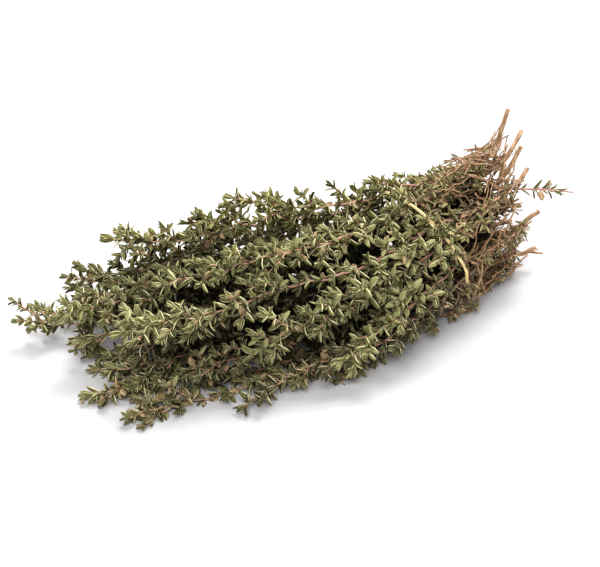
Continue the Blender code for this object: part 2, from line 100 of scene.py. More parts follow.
@dataclass(frozen=True)
class Envelope:
    """The outline of the bundle for the middle lines of its stems.

    Each station holds, in millimetres, x, the middle y, the half width, the half height and the lift of
    the lowest stems. The bundle is crowded between two places along it, and its heart is the share of the
    section that no light reaches, with the share over which it fades.
    """

    stations: tuple[tuple[float, ...], ...] = (
        (140, 18, 16, 20, 4.0),
        (112, 15, 18, 25, 3.2),
        (85, 9, 26, 27, 3.2),
        (62, 4, 31, 26, 3.2),
        (38, 1, 39, 25, 2.6),
        (12, 2, 48, 24, 0.6),
        (-25, 8, 51, 23, 0.0),
        (-65, 15, 55, 20, 0.0),
        (-98, 24, 50, 16, 0.0),
        (-135, 32, 42, 12, 0.0),
    )
    sag: float = 1.4
    belly_flatness: float = 0.8
    belly_edge: float = 0.09
    crowded: tuple[float, float] = (-105 * MM, 116 * MM)
    crowded_ease: tuple[float, float] = (80 * MM, 16 * MM)
    heart: tuple[float, float] = (0.45, 0.58)
    heart_height: tuple[float, float] = (0.8, 1.2)

    def section(self, x: float) -> list[float]:
        """Read the outline at x.

        Args:
            x: The place along the bundle.

        Returns:
            The middle y, the half width, the half height and the lift.
        """
        at = x / MM
        i = 0
        while i < len(self.stations) - 2 and at < self.stations[i + 1][0]:
            i += 1
        left, right = self.stations[i], self.stations[i + 1]
        before = self.stations[max(i - 1, 0)]
        after = self.stations[min(i + 2, len(self.stations) - 1)]
        span = right[0] - left[0]
        t = (at - left[0]) / span
        values = []
        for k in range(1, len(left)):
            slope_left = (right[k] - before[k]) / (right[0] - before[0]) * span
            slope_right = (after[k] - left[k]) / (after[0] - left[0]) * span
            value = ((2 * t**3 - 3 * t**2 + 1) * left[k] + (t**3 - 2 * t**2 + t) * slope_left
                     + (3 * t**2 - 2 * t**3) * right[k] + (t**3 - t**2) * slope_right)
            values.append(value * MM)
        return values

    def place(self, x: float, a: float, b: float) -> Vector:
        """Place a stem that runs at (a, b) of the unit disc.

        Args:
            x: The place along the bundle.
            a: How far sideways the stem runs, from -1 to 1.
            b: How far up it runs, from -1 to 1.

        Returns:
            The point.
        """
        middle, half_width, half_height, lift = self.section(x)
        if b < 0.0:
            floor_b = max(-1.0, b / math.sqrt(max(self.belly_edge, 1.0 - a * a)))
            b += (floor_b - b) * self.belly_flatness
        height = 2.0 * half_height * ((1.0 + b) / 2.0) ** self.sag
        return Vector((x, middle + a * half_width, lift + height))

    def depth(self, point: Vector) -> float:
        """Tell how deep in the bundle a point is, from 0 at the outside to 1 in the middle.

        Args:
            point: The point.

        Returns:
            The depth.
        """
        middle, half_width, half_height, lift = self.section(point.x)
        side = (point.y - middle) / half_width
        middle_height, reach = self.heart_height
        height = (point.z - lift - half_height * middle_height) / (half_height * reach)
        (first, last), (rise, fall) = self.crowded, self.crowded_ease
        crowded = smooth((point.x - first) / rise) * smooth((last - point.x) / fall)
        core, fade = self.heart
        return crowded * (1.0 - smooth((math.hypot(side, height) - core) / fade))


@dataclass
class SprigRoute:
    """The route of one sprig: its place in the section, its fork and its cut end."""

    number: int
    angle: float
    a: float
    b: float
    envelope: Envelope
    fork_x: float
    cut_x: float
    pull: Vector = field(default_factory=Vector)
    fork_offset: float = 1.15 * MM
    gap: float = 0.3 * MM
    shoot_angles: tuple[float, ...] = (62.0, -62.0, 180.0)
    heading_run: float = 4 * MM
    outer_from: float = 0.6

    @property
    def outer(self) -> bool:
        """Whether the sprig runs near the outside of the bundle."""
        return math.hypot(self.a, self.b) > self.outer_from

    @property
    def fork(self) -> Vector:
        """The point where the wood forks."""
        return self.envelope.place(self.fork_x, self.a, self.b)

    @property
    def heading(self) -> Vector:
        """The direction from the fork along the shoots."""
        return (self.envelope.place(self.fork_x - self.heading_run, self.a, self.b) - self.fork).normalized()

    def wood_point(self, t: float) -> Vector:
        """Give the point of the woody stem at t, 0 at the fork and 1 at the cut end."""
        x = self.fork_x + (self.cut_x - self.fork_x) * t
        return self.envelope.place(x, self.a, self.b) + self.pull * t * t

    def turn(self, k: int) -> float:
        """Give the angle round the fork at which the k-th shoot leaves."""
        return self.angle + math.radians(self.shoot_angles[k])

    def shoot_start(self, k: int) -> Vector:
        """Give the middle of the k-th shoot's first section.

        Args:
            k: Which shoot of the sprig it is, from 0.

        Returns:
            The point.
        """
        offset = Vector((0.0, math.cos(self.turn(k)), math.sin(self.turn(k)))) * self.fork_offset
        offset -= self.heading * offset.dot(self.heading)
        return self.fork + self.heading * self.gap + offset


@dataclass
class ShootRoute:
    """The smooth line that one shoot follows from its fork to its tip."""

    sprig: SprigRoute
    letter: str
    start: Vector
    a: float
    b: float
    tip_x: float
    waves: list[tuple[float, float]]
    pull: Vector = field(default_factory=Vector)
    fork_blend: float = 42 * MM
    wobble: tuple[float, float, float] = (0.0, 2.6 * MM, 1.6 * MM)
    splay: float = 9 * MM
    splay_run: float = 55 * MM
    fan_from: float = 50 * MM
    fan_run: float = 90 * MM
    inner_reach: float = 0.55

    @property
    def name(self) -> str:
        """The name of the solid that the shoot replaces."""
        return f"leafy_shoot_{self.sprig.number:02d}{self.letter}"

    @property
    def inner(self) -> bool:
        """Whether the shoot runs in the middle of the bundle."""
        return math.hypot(self.a, self.b) < self.inner_reach

    def at(self, x: float) -> Vector:
        """Give the route's point at x.

        Args:
            x: The place along the bundle.

        Returns:
            The point.
        """
        envelope = self.sprig.envelope
        offset = self.start - self.sprig.fork
        together = envelope.place(x, self.sprig.a, self.sprig.b) + Vector((0.0, offset.y, offset.z))
        apart = smooth((self.start.x - x) / self.fork_blend)
        point = together.lerp(envelope.place(x, self.a, self.b), apart)
        fan = smooth((self.fan_from - x) / self.fan_run)
        for axis, (length, phase) in enumerate(self.waves):
            point[axis] += self.wobble[axis] * fan * math.sin(math.tau * x / length + phase)
        late = 1.0 - (x - self.tip_x) / self.splay_run
        point.y += self.splay * self.a * max(0.0, late) ** 2
        part = (self.start.x - x) / (self.start.x - self.tip_x)
        return point + self.pull * part**3


@dataclass
class Plan:
    """Where every sprig and shoot runs, drawn in the same order as for the solids.

    The tips of the named shoots and the cut ends of the numbered sprigs are given in millimetres.
    """

    envelope: Envelope = field(default_factory=Envelope)
    rings: tuple[tuple[float, int, float], ...] = ((0.34, 4, 45.0), (0.79, 8, 90.0))
    spread: float = 0.155
    reaches: tuple[float, ...] = (0.82, 1.0, 0.91)
    reach_scatter: float = 0.06
    tip_x: float = -102 * MM
    near_shorter: float = 15 * MM
    far_shorter: float = 34 * MM
    top_shorter: float = 16 * MM
    wave_lengths: tuple[float, float] = (60, 110)
    fork: tuple[float, float] = (97 * MM, 5 * MM)
    cut: tuple[float, float] = (119 * MM, 6 * MM)
    shoot_tips: dict[str, tuple[float, ...]] = field(default_factory=lambda: {
        "5b": (42, 17, 55),
        "6a": (-39, -30, 17),
        "7a": (-48, -42, 3),
        "7b": (-6, -45, 13),
        "8a": (-101, -6, 3),
        "8b": (-92, -28, 3),
        "8c": (-84, 1, 8),
        "10c": (-109, 50, 11),
        "11a": (-29, 50, 38),
        "12a": (-12, 41, 50),
        "12b": (-64, 56, 36),
    })
    cut_ends: dict[int, tuple[float, ...]] = field(default_factory=lambda: {
        1: (126, 24, 50),
        5: (127, 26, 57),
        6: (124, 15, 43),
        7: (123, 3, 28),
        8: (122, 2, 9),
        9: (109, 4, 5),
        12: (123, 31, 66),
    })
    sprigs: list[SprigRoute] = field(default_factory=list)
    shoots: list[ShootRoute] = field(default_factory=list)

    def __post_init__(self) -> None:
        """Draw every route."""
        draw = random.Random(ROUTE_SEED)
        for radius, count, first in self.rings:
            for i in range(count):
                self._add_sprig(radius, math.radians(first + 360.0 * i / count), draw)
        for sprig in self.sprigs:
            for k in range(len(sprig.shoot_angles)):
                self._add_shoot(sprig, k, draw)

    def _add_sprig(self, radius: float, angle: float, draw: random.Random) -> None:
        """Draw one sprig's route.

        Args:
            radius: How far from the middle of the section it runs.
            angle: Its angle round the section.
            draw: The source of chance.
        """
        fork_x = self.fork[0] + draw.uniform(-self.fork[1], self.fork[1])
        cut_x = self.cut[0] + draw.uniform(-self.cut[1], self.cut[1])
        number = len(self.sprigs) + 1
        sprig = SprigRoute(number, angle, radius * math.cos(angle), radius * math.sin(angle),
                           self.envelope, fork_x, cut_x)
        if number in self.cut_ends:
            end = Vector(self.cut_ends[number]) * MM
            sprig.cut_x = end.x
            sprig.pull = end - self.envelope.place(end.x, sprig.a, sprig.b)
        self.sprigs.append(sprig)

    def _add_shoot(self, sprig: SprigRoute, k: int, draw: random.Random) -> None:
        """Draw the route of one of a sprig's shoots.

        Args:
            sprig: The sprig that it grows on.
            k: Its place at the fork.
            draw: The source of chance.
        """
        a = sprig.a + self.spread * math.cos(sprig.turn(k))
        b = sprig.b + self.spread * math.sin(sprig.turn(k))
        start = sprig.shoot_start(k)
        reach = self.reaches[(k + sprig.number) % 3] + draw.uniform(-self.reach_scatter, self.reach_scatter)
        shorter = (self.near_shorter * max(0.0, -a) + self.far_shorter * max(0.0, a)
                   + self.top_shorter * max(0.0, b))
        tip_x = start.x + (self.tip_x + shorter - start.x) * reach
        waves = [(draw.uniform(*self.wave_lengths) * MM, draw.uniform(0.0, math.tau)) for _ in range(3)]
        shoot = ShootRoute(sprig, "abc"[k], start, a, b, tip_x, waves)
        tip = self.shoot_tips.get(f"{sprig.number}{shoot.letter}")
        if tip:
            shoot.tip_x = tip[0] * MM
            shoot.pull = Vector(tip) * MM - shoot.at(shoot.tip_x)
        self.shoots.append(shoot)


class Sleeve:
    """A closed body that grows ring by ring from the end cap of a short cone."""

    def __init__(self, bm: bmesh.types.BMesh, sides: int) -> None:
        """Start the body.

        Args:
            bm: The mesh that it grows in.
            sides: The number of points round it.
        """
        self.bm = bm
        made = bmesh.ops.create_cone(bm, cap_ends=True, cap_tris=False, segments=sides,
                                     radius1=1.0, radius2=1.0, depth=2.0)
        caps = {face for vert in made["verts"] for face in vert.link_faces if abs(face.normal.z) > 0.9}
        start, self.end = sorted(caps, key=lambda face: face.calc_center_median().z)
        self.order = self._order(self.end)
        self.first_ring = [start.verts[i] for i in self._order(start)]
        self.ring = [self.end.verts[i] for i in self.order]

    @staticmethod
    def _order(cap: bmesh.types.BMFace) -> list[int]:
        """List the cap's vertices by their angle round the body."""
        angles = [math.atan2(vert.co.y, vert.co.x) % math.tau for vert in cap.verts]
        return sorted(range(len(angles)), key=lambda i: angles[i])

    def extrude(self) -> list[bmesh.types.BMVert]:
        """Extrude the end cap.

        Returns:
            The vertices of its new ring, which still lies on the old one.
        """
        self.end = bmesh.ops.extrude_discrete_faces(self.bm, faces=[self.end])["faces"][0]
        self.ring = [self.end.verts[i] for i in self.order]
        return self.ring

    def close(self, tip: Vector) -> bmesh.types.BMVert:
        """Draw the end cap out to a point.

        Args:
            tip: Where the point is.

        Returns:
            Its vertex.
        """
        vert = bmesh.ops.poke(self.bm, faces=[self.end])["verts"][0]
        vert.co = tip
        return vert


@dataclass(frozen=True)
class LeafForm:
    """The shape of a kind of leaf, one unit long, which every copy of it takes.

    The rib lies along +X and the upper side faces +Z. A small leaf has a plainer section, with a thickness
    over and under its rib, and fewer stations along it.
    """

    curl: float
    fold: float
    roll: float = 0.045
    groove: float = 0.05
    twist: float = 0.0
    small: bool = False
    shoulder: float = 0.6
    foot: float = 0.13
    widest: float = 0.84
    bluntness: float = 0.8
    thickness: tuple[float, float] = (0.02, -0.07)
    stations: tuple[float, ...] = (0.0, 0.2, 0.55, 0.87)
    small_stations: tuple[float, ...] = (0.0, 0.38, 0.8)

    def _width(self, t: float) -> float:
        """Give the half width at t along the rib, 1 at the widest."""
        return self.foot + (1.0 - self.foot) * math.sin(math.pi * t**self.widest) ** self.bluntness

    def _section(self) -> tuple[tuple[float, float], ...]:
        """List the points round the leaf.

        Returns:
            The share of the half width and the height of each.
        """
        if self.small:
            over, under = self.thickness
            return ((1.0, self.fold), (0.0, over), (-1.0, self.fold), (0.0, under))
        rim = self.fold - self.roll
        top = self.fold * self.shoulder + self.groove
        return ((1.0, rim), (self.shoulder, top), (0.0, 0.0), (-self.shoulder, top), (-1.0, rim))

    def _point(self, t: float, y: float, z: float) -> Vector:
        """Bend a point of the flat leaf along the curl and the twist.

        Args:
            t: The place along the rib.
            y: The place across it.
            z: The height over the rib.

        Returns:
            The point on the bent leaf.
        """
        turn = self.twist * t
        y, z = y * math.cos(turn) - z * math.sin(turn), y * math.sin(turn) + z * math.cos(turn)
        bend = self.curl * t
        x = math.sin(bend) / self.curl
        drop = (1.0 - math.cos(bend)) / self.curl
        return Vector((x + z * math.sin(bend), y, z * math.cos(bend) - drop))

    def build(self, name: str) -> bpy.types.Mesh:
        """Model the leaf by extruding its section along the rib.

        Args:
            name: The name of the mesh.

        Returns:
            The mesh, with the place across and along the leaf in the attribute grain.
        """
        section = self._section()
        bm = bmesh.new()
        grain = bm.verts.layers.float_vector.new("grain")
        sleeve = Sleeve(bm, len(section))
        for i, t in enumerate(self.small_stations if self.small else self.stations):
            ring = sleeve.first_ring if i == 0 else sleeve.ring if i == 1 else sleeve.extrude()
            width = self._width(t)
            for vert, (side, height) in zip(ring, section):
                vert.co = self._point(t, side * width * 0.5, height * math.sqrt(width))
                vert[grain] = (side, t, 0.0)
        tip = sleeve.close(self._point(1.0, 0.0, 0.0))
        tip[grain] = (0.0, 1.0, 0.0)
        bmesh.ops.recalc_face_normals(bm, faces=bm.faces)
        for face in bm.faces:
            face.smooth = True
        mesh = bpy.data.meshes.new(name)
        bm.to_mesh(mesh)
        bm.free()
        return mesh


class LeafKind(Enum):
    """The kinds of leaf on the plant."""

    SPREAD = LeafForm(curl=0.45, fold=0.05)
    ARCHED = LeafForm(curl=0.95, fold=0.02, twist=0.2)
    CUPPED = LeafForm(curl=-0.35, fold=0.14, groove=0.03)
    FOLDED = LeafForm(curl=0.3, fold=0.24, twist=-0.25)
    DRY = LeafForm(curl=1.9, fold=-0.2, roll=0.12, twist=0.8)
    BUD = LeafForm(curl=-0.3, fold=0.1, small=True)
    YOUNG = LeafForm(curl=0.5, fold=0.06, small=True)


@dataclass(frozen=True)
class Look:
    """How the leaves of one shoot look: how light, how fresh a green, how large and what share is dry."""

    tone: float
    fresh: float
    scale: float = 1.0
    dry: float = 0.022


@dataclass
class Leaf:
    """One leaf: what kind it is, where it grows and how it is coloured.

    The tint holds how light the leaf is, how deep in the bundle it grows, which sets its painted shade, and
    how dry it is.
    """

    kind: LeafKind
    base: Vector
    direction: Vector
    upper: Vector
    length: float
    width: float
    tint: tuple[float, float, float]
    fresh: float

    def matrix(self) -> Matrix:
        """Give the matrix that takes the one-unit leaf to its place.

        Returns:
            The matrix.
        """
        up, _ = across(self.direction, self.upper)
        side = up.cross(self.direction)
        columns = (self.direction * self.length, side * self.width, up * self.length)
        matrix = Matrix.Identity(4)
        for k, column in enumerate((*columns, self.base)):
            for row in range(3):
                matrix[row][k] = column[row]
        return matrix


@dataclass
class Foliage:
    """The leaves of one sprig, gathered into one mesh.

    No point of a leaf lies under the floor, and no tip grows under the lowest tip. Leaves whose foot is low
    lie flatter.
    """

    shapes: dict[LeafKind, bpy.types.Mesh]
    envelope: Envelope
    floor: float = 0.05 * MM
    lowest_tip: float = 0.4 * MM
    low: float = 3 * MM
    leaves: list[Leaf] = field(default_factory=list)

    def add(self, leaf: Leaf) -> None:
        """Take a leaf, bent up where it would grow into the surface and laid flatter near it.

        Args:
            leaf: The leaf.
        """
        tip = leaf.base + leaf.direction * leaf.length
        if tip.z < self.lowest_tip:
            tip.z = self.lowest_tip
            leaf.direction = (tip - leaf.base).normalized()
        if leaf.base.z < self.low:
            leaf.upper = leaf.upper.lerp(UP, 0.5)
        self.leaves.append(leaf)

    def mesh(self, name: str) -> bpy.types.Mesh:
        """Gather the copies.

        Args:
            name: The name of the mesh.

        Returns:
            The mesh, with each leaf's colour values in the attributes tint and fresh.
        """
        bm = bmesh.new()
        for leaf in self.leaves:
            shape = self.shapes[leaf.kind]
            matrix = leaf.matrix()
            shape.transform(matrix)
            bm.from_mesh(shape)
            shape.transform(matrix.inverted())
        mesh = bpy.data.meshes.new(name)
        bm.to_mesh(mesh)
        bm.free()
        counts = [len(self.shapes[leaf.kind].vertices) for leaf in self.leaves]
        tints = np.repeat(np.array([leaf.tint for leaf in self.leaves]), counts, axis=0)
        mesh.attributes.new("tint", "FLOAT_VECTOR", "POINT").data.foreach_set("vector", tints.ravel())
        fresh = np.repeat([leaf.fresh for leaf in self.leaves], counts)
        mesh.attributes.new("fresh", "FLOAT", "POINT").data.foreach_set("value", fresh)
        points = np.empty(len(mesh.vertices) * 3)
        mesh.vertices.foreach_get("co", points)
        points[2::3] = np.maximum(points[2::3], self.floor)
        mesh.vertices.foreach_set("co", points)
        return mesh


@dataclass
class Stems:
    """The stems of one sprig, gathered into one mesh.

    The attribute tint holds a stem's age, its tone and where it is a fresh cut. The attribute grain holds
    the place across and along the stem in millimetres. The heights of a cut's rim and pith are in millimetres
    too.
    """

    envelope: Envelope | None = None
    bm: bmesh.types.BMesh = field(default_factory=bmesh.new)
    tip_length: float = 0.8
    cut_width: float = 0.93
    cut_height: float = 0.05
    pith_height: float = 0.02
    floor: float = 0.03 * MM

    def __post_init__(self) -> None:
        """Add the layers that the finishes read."""
        # The layer depth holds how deep in the bundle a point lies, for the painted shade of the finishes.
        self.depth = self.bm.verts.layers.float.new("depth")
        self.grain = self.bm.verts.layers.float_vector.new("grain")
        self.tint = self.bm.verts.layers.float_vector.new("tint")

    def grow(self, points: list[Vector], radii: list[float], ages: list[float], sides: int = 6,
             tone: float = 0.5, cut: bool = False, flat: float = 1.0, twist: float = 0.0) -> None:
        """Extrude a round stem along a line.

        Args:
            points: The line's points.
            radii: The radius at each point.
            ages: How old the stem is at each point, from 0, green, to 1, brown.
            sides: The number of sides.
            tone: How light the stem is.
            cut: Whether the far end is a fresh cut, and not closed to a point.
            flat: The share of its thickness that is left, for a flat stem.
            twist: How far a flat stem turns from one point to the next.
        """
        sleeve = Sleeve(self.bm, sides)
        side = Vector((0.0, 1.0, 0.0))
        run = 0.0
        for i, (point, radius, age) in enumerate(zip(points, radii, ages)):
            ahead, behind = points[min(i + 1, len(points) - 1)], points[max(i - 1, 0)]
            direction = (ahead - behind).normalized()
            level, up = across(direction, side)
            side = level * math.cos(twist) + up * math.sin(twist)
            up = up * math.cos(twist) - level * math.sin(twist)
            run += (point - behind).length
            depth = self.envelope.depth(point) if self.envelope else 0.0
            ring = sleeve.first_ring if i == 0 else sleeve.ring if i == 1 else sleeve.extrude()
            for k, vert in enumerate(ring):
                angle = math.tau * k / sides
                vert.co = point + (side * math.cos(angle) + up * (flat * math.sin(angle))) * radius
                vert[self.grain] = Vector((math.cos(angle) * radius, math.sin(angle) * radius, run)) / MM
                vert[self.tint] = (age, tone, 0.0)
                vert[self.depth] = depth
        if not cut:
            tip = sleeve.close(points[-1] + direction * radii[-1] * self.tip_length)
            tip[self.grain] = (0.0, 0.0, run / MM)
            tip[self.tint] = (ages[-1], tone, 0.0)
            return
        old = sleeve.ring
        ring = sleeve.extrude()
        for before, vert in zip(old, ring):
            narrower = points[-1] + (before.co - points[-1]) * self.cut_width
            vert.co = narrower + direction * self.cut_height * MM
            vert[self.tint] = (ages[-1], tone, 1.0)
        pith = sleeve.close(points[-1] + direction * self.pith_height * MM)
        pith[self.grain] = (0.0, 0.0, run / MM)
        pith[self.tint] = (ages[-1], tone, 1.0)

    def mesh(self, name: str) -> bpy.types.Mesh:
        """Finish the mesh, with its faces outward and smooth.

        Args:
            name: The name of the mesh.

        Returns:
            The mesh.
        """
        bmesh.ops.recalc_face_normals(self.bm, faces=self.bm.faces)
        for face in self.bm.faces:
            face.smooth = True
        for vert in self.bm.verts:
            vert.co.z = max(vert.co.z, self.floor)
        mesh = bpy.data.meshes.new(name)
        self.bm.to_mesh(mesh)
        self.bm.free()
        return mesh


@dataclass
class Joint:
    """A joint of a stem, where leaves and branches grow."""

    point: Vector
    direction: Vector
    side: Vector
    radius: float
    index: int

    def outward(self, turn: float) -> Vector:
        """Give the direction away from the stem at an angle round it."""
        up = self.direction.cross(self.side)
        return self.side * math.cos(turn) + up * math.sin(turn)


@dataclass(frozen=True)
class Wear:
    """How the leaves change towards the cut end, where they are small, rough and worn.

    The wear begins at a place and is full after a run. The other numbers are how much of each thing changes
    where it is full.
    """

    start: float = 25 * MM
    run: float = 70 * MM
    dry: float = 0.12
    darker: float = 0.1
    browner: float = 0.3
    shorter: float = 0.2
    narrower: float = 0.4
    fresher: float = 0.3
    plain_from: float = 0.7

    def at(self, x: float) -> float:
        """Tell how worn the leaves at x are, from 0 to 1."""
        return smooth((x - self.start) / self.run)


@dataclass
class Grower:
    """Clothes stems with leaves, clusters and branches.

    Pairs of numbers are the lowest and highest that is drawn. The taper and the ages of a branch are the
    value at its foot and how much of it is lost on the way to its tip. Tilts and branch angles are in
    degrees, turns and spreads in radians and gaps in millimetres. A small leaf's length and tilt are shares
    of those of the leaf beside it.
    """

    foliage: Foliage
    stems: Stems
    draw: random.Random
    look: Look
    wear: Wear = Wear()
    young_lengths: tuple[float, ...] = (3.0 * MM, 4.3 * MM, 5.4 * MM, 6.2 * MM)
    full_length: float = 6.7 * MM
    young_tilts: tuple[float, ...] = (14.0, 26.0, 37.0, 45.0)
    full_tilt: float = 52.0
    lengths: tuple[float, float] = (0.85, 1.12)
    tilts: tuple[float, float] = (-18, 12)
    widths: tuple[float, float] = (0.35, 0.46)
    skew: float = 0.45
    pair_turn: float = 0.2
    small_lengths: tuple[float, float] = (0.42, 0.72)
    small_tilts: tuple[float, float] = (0.45, 0.8)
    small_spread: tuple[float, float] = (0.5, 0.8)
    small_turn: float = 0.15
    small_lift: float = 0.5 * MM
    hidden_depth: float = 0.48
    bud_tilt: float = 32.0
    cupped_tilt: float = 40.0
    tip_light: float = 0.1
    tip_joints: int = 3
    scatter: float = 0.14
    fresh_scatter: float = 0.18
    dryness: tuple[float, float] = (0.35, 0.95)
    green: float = -0.14
    branch_radius: float = 0.36 * MM
    branch_angles: tuple[float, float] = (38.0, 56.0)
    branch_step: float = 2.6 * MM
    branch_gaps: tuple[float, ...] = (0.7, 1.1, 1.7, 2.3, 2.8)
    branch_scale: float = 0.88
    branch_scatter: float = 0.1
    branch_low: float = 0.8 * MM
    branch_rise: tuple[float, float] = (-0.02, 0.05)
    branch_taper: tuple[float, float] = (1.25, 0.5)
    branch_ages: tuple[float, float] = (0.42, 0.35)
    turn_back: float = 0.07
    gap_scatter: tuple[float, float] = (0.85, 1.15)

    def _kind(self, plain: bool, tilt: float) -> LeafKind:
        """Choose the kind of a living leaf.

        Args:
            plain: Whether a small, plainer kind will do.
            tilt: The leaf's angle to the stem, in degrees.

        Returns:
            The kind.
        """
        if plain:
            return LeafKind.BUD if tilt < self.bud_tilt else LeafKind.YOUNG
        if tilt < self.cupped_tilt:
            return LeafKind.CUPPED
        return self.draw.choices((LeafKind.SPREAD, LeafKind.ARCHED, LeafKind.FOLDED), (5, 3, 2))[0]

    def leaf(self, joint: Joint, turn: float, tilt: float, length: float, small: bool,
             lift: float = 0.0) -> None:
        """Add one leaf at a joint.

        Args:
            joint: The joint that it grows from.
            turn: Its angle round the stem.
            tilt: Its angle to the stem, in degrees.
            length: Its length.
            small: Whether it is one of the small leaves in the axils.
            lift: How far up the stem its foot is.
        """
        draw, look, wear = self.draw, self.look, self.wear
        out = joint.outward(turn)
        angle = math.radians(tilt)
        direction = (out * math.sin(angle) + joint.direction * math.cos(angle)).normalized()
        base = joint.point + out * joint.radius * 0.6 + joint.direction * lift
        side = joint.direction.cross(out)
        upper = joint.direction + side * draw.uniform(-self.skew, self.skew)
        # How deep the leaf lies: it sets the chance of a dry or plain leaf and the painted shade of the
        # finish.
        depth = self.foliage.envelope.depth(base)
        worn = wear.at(base.x)
        dry = draw.random() < look.dry * (1.0 + 2.0 * depth) + wear.dry * worn
        plain = small or depth > self.hidden_depth or worn > wear.plain_from
        kind = LeafKind.DRY if dry else self._kind(plain, tilt)
        light = self.tip_light if joint.index < self.tip_joints else 0.0
        tone = clamp(look.tone + light - wear.darker * worn + draw.gauss(0.0, self.scatter))
        if dry:
            dryness = draw.uniform(*self.dryness)
        else:
            dryness = clamp(draw.gauss(wear.browner * worn + self.green + 2.0 * look.dry, self.scatter))
        length *= look.scale * (1.0 - wear.shorter * worn)
        width = length * draw.uniform(*self.widths) * (1.0 - wear.narrower * worn)
        fresh = clamp(look.fresh + wear.fresher * worn + draw.gauss(0.0, self.fresh_scatter))
        self.foliage.add(Leaf(kind, base, direction, upper, length, width, (tone, depth, dryness), fresh))

    def clothe(self, joint: Joint, scale: float, cluster: int, skip: float = 0.0) -> None:
        """Add a joint's pair of leaves, with the small ones in their axils.

        Args:
            joint: The joint.
            scale: The size of its leaves, 1 for full size.
            cluster: How many small leaves each axil has.
            skip: The chance that a leaf is missing.
        """
        draw = self.draw
        i = joint.index
        young = i < len(self.young_lengths)
        length = (self.young_lengths[i] if young else self.full_length) * scale
        tilt = self.young_tilts[i] if young else self.full_tilt
        first = math.pi / 2 * (i % 2) + draw.uniform(-self.pair_turn, self.pair_turn)
        for turn in (first, first + math.pi):
            if draw.random() < skip:
                continue
            angle = tilt + draw.uniform(*self.tilts)
            self.leaf(joint, turn, angle, length * draw.uniform(*self.lengths), False)
            for k in range(cluster):
                away = turn + (k - (cluster - 1) / 2) * draw.uniform(*self.small_spread)
                away += draw.uniform(-self.small_turn, self.small_turn)
                small = length * draw.uniform(*self.small_lengths)
                self.leaf(joint, away, tilt * draw.uniform(*self.small_tilts), small, True, self.small_lift)

    def branch(self, joint: Joint, turn: float, length: float, cluster: int) -> None:
        """Grow a short side branch with a tuft at its tip.

        Args:
            joint: The joint that it leaves.
            turn: Its angle round the stem.
            length: Its length.
            cluster: How many small leaves its axils have.
        """
        draw = self.draw
        out = joint.outward(turn)
        angle = math.radians(draw.uniform(*self.branch_angles))
        heading = (out * math.sin(angle) + joint.direction * math.cos(angle)).normalized()
        steps = max(3, round(length / self.branch_step))
        points = [joint.point + out * joint.radius * 0.5]
        for _ in range(steps):
            rise = UP * draw.uniform(*self.branch_rise)
            heading = (heading + joint.direction * self.turn_back + rise).normalized()
            points.append(points[-1] + heading * (length / steps))
        keep_above(points, self.branch_low)
        (thick, taper), (oldest, younger) = self.branch_taper, self.branch_ages
        radii = [self.branch_radius * (thick - taper * k / steps) for k in range(steps + 1)]
        ages = [oldest - younger * k / steps for k in range(steps + 1)]
        self.stems.grow(points, radii, ages, 5, self.look.tone)
        whole = self.look
        self.look = replace(whole, tone=whole.tone + draw.gauss(0.0, self.branch_scatter))
        for twig_joint in self.joints(points[::-1], self.branch_gaps, radii[-1]):
            self.clothe(twig_joint, self.branch_scale, cluster if twig_joint.index > 2 else 0)
        self.look = whole

    def joints(self, points: list[Vector], gaps: tuple[float, ...], radius: float) -> Iterator[Joint]:
        """Space joints along a line from its tip down.

        Args:
            points: The line, from the tip to the foot.
            gaps: The distances between the joints in millimetres, the last of which repeats.
            radius: The radius of the stem.

        Yields:
            Each joint.
        """
        side = Vector((0.3, 1.0, 0.2)).normalized()
        wanted, run, index = 0.0, 0.0, 0
        for start, end in zip(points, points[1:]):
            span = (end - start).length
            direction = (start - end).normalized()
            side, _ = across(direction, side)
            while run + span >= wanted and span > 0.0:
                point = start.lerp(end, (wanted - run) / span)
                yield Joint(point, direction, side.copy(), radius, index)
                wanted += gaps[min(index, len(gaps) - 1)] * MM * self.draw.uniform(*self.gap_scatter)
                index += 1
            run += span


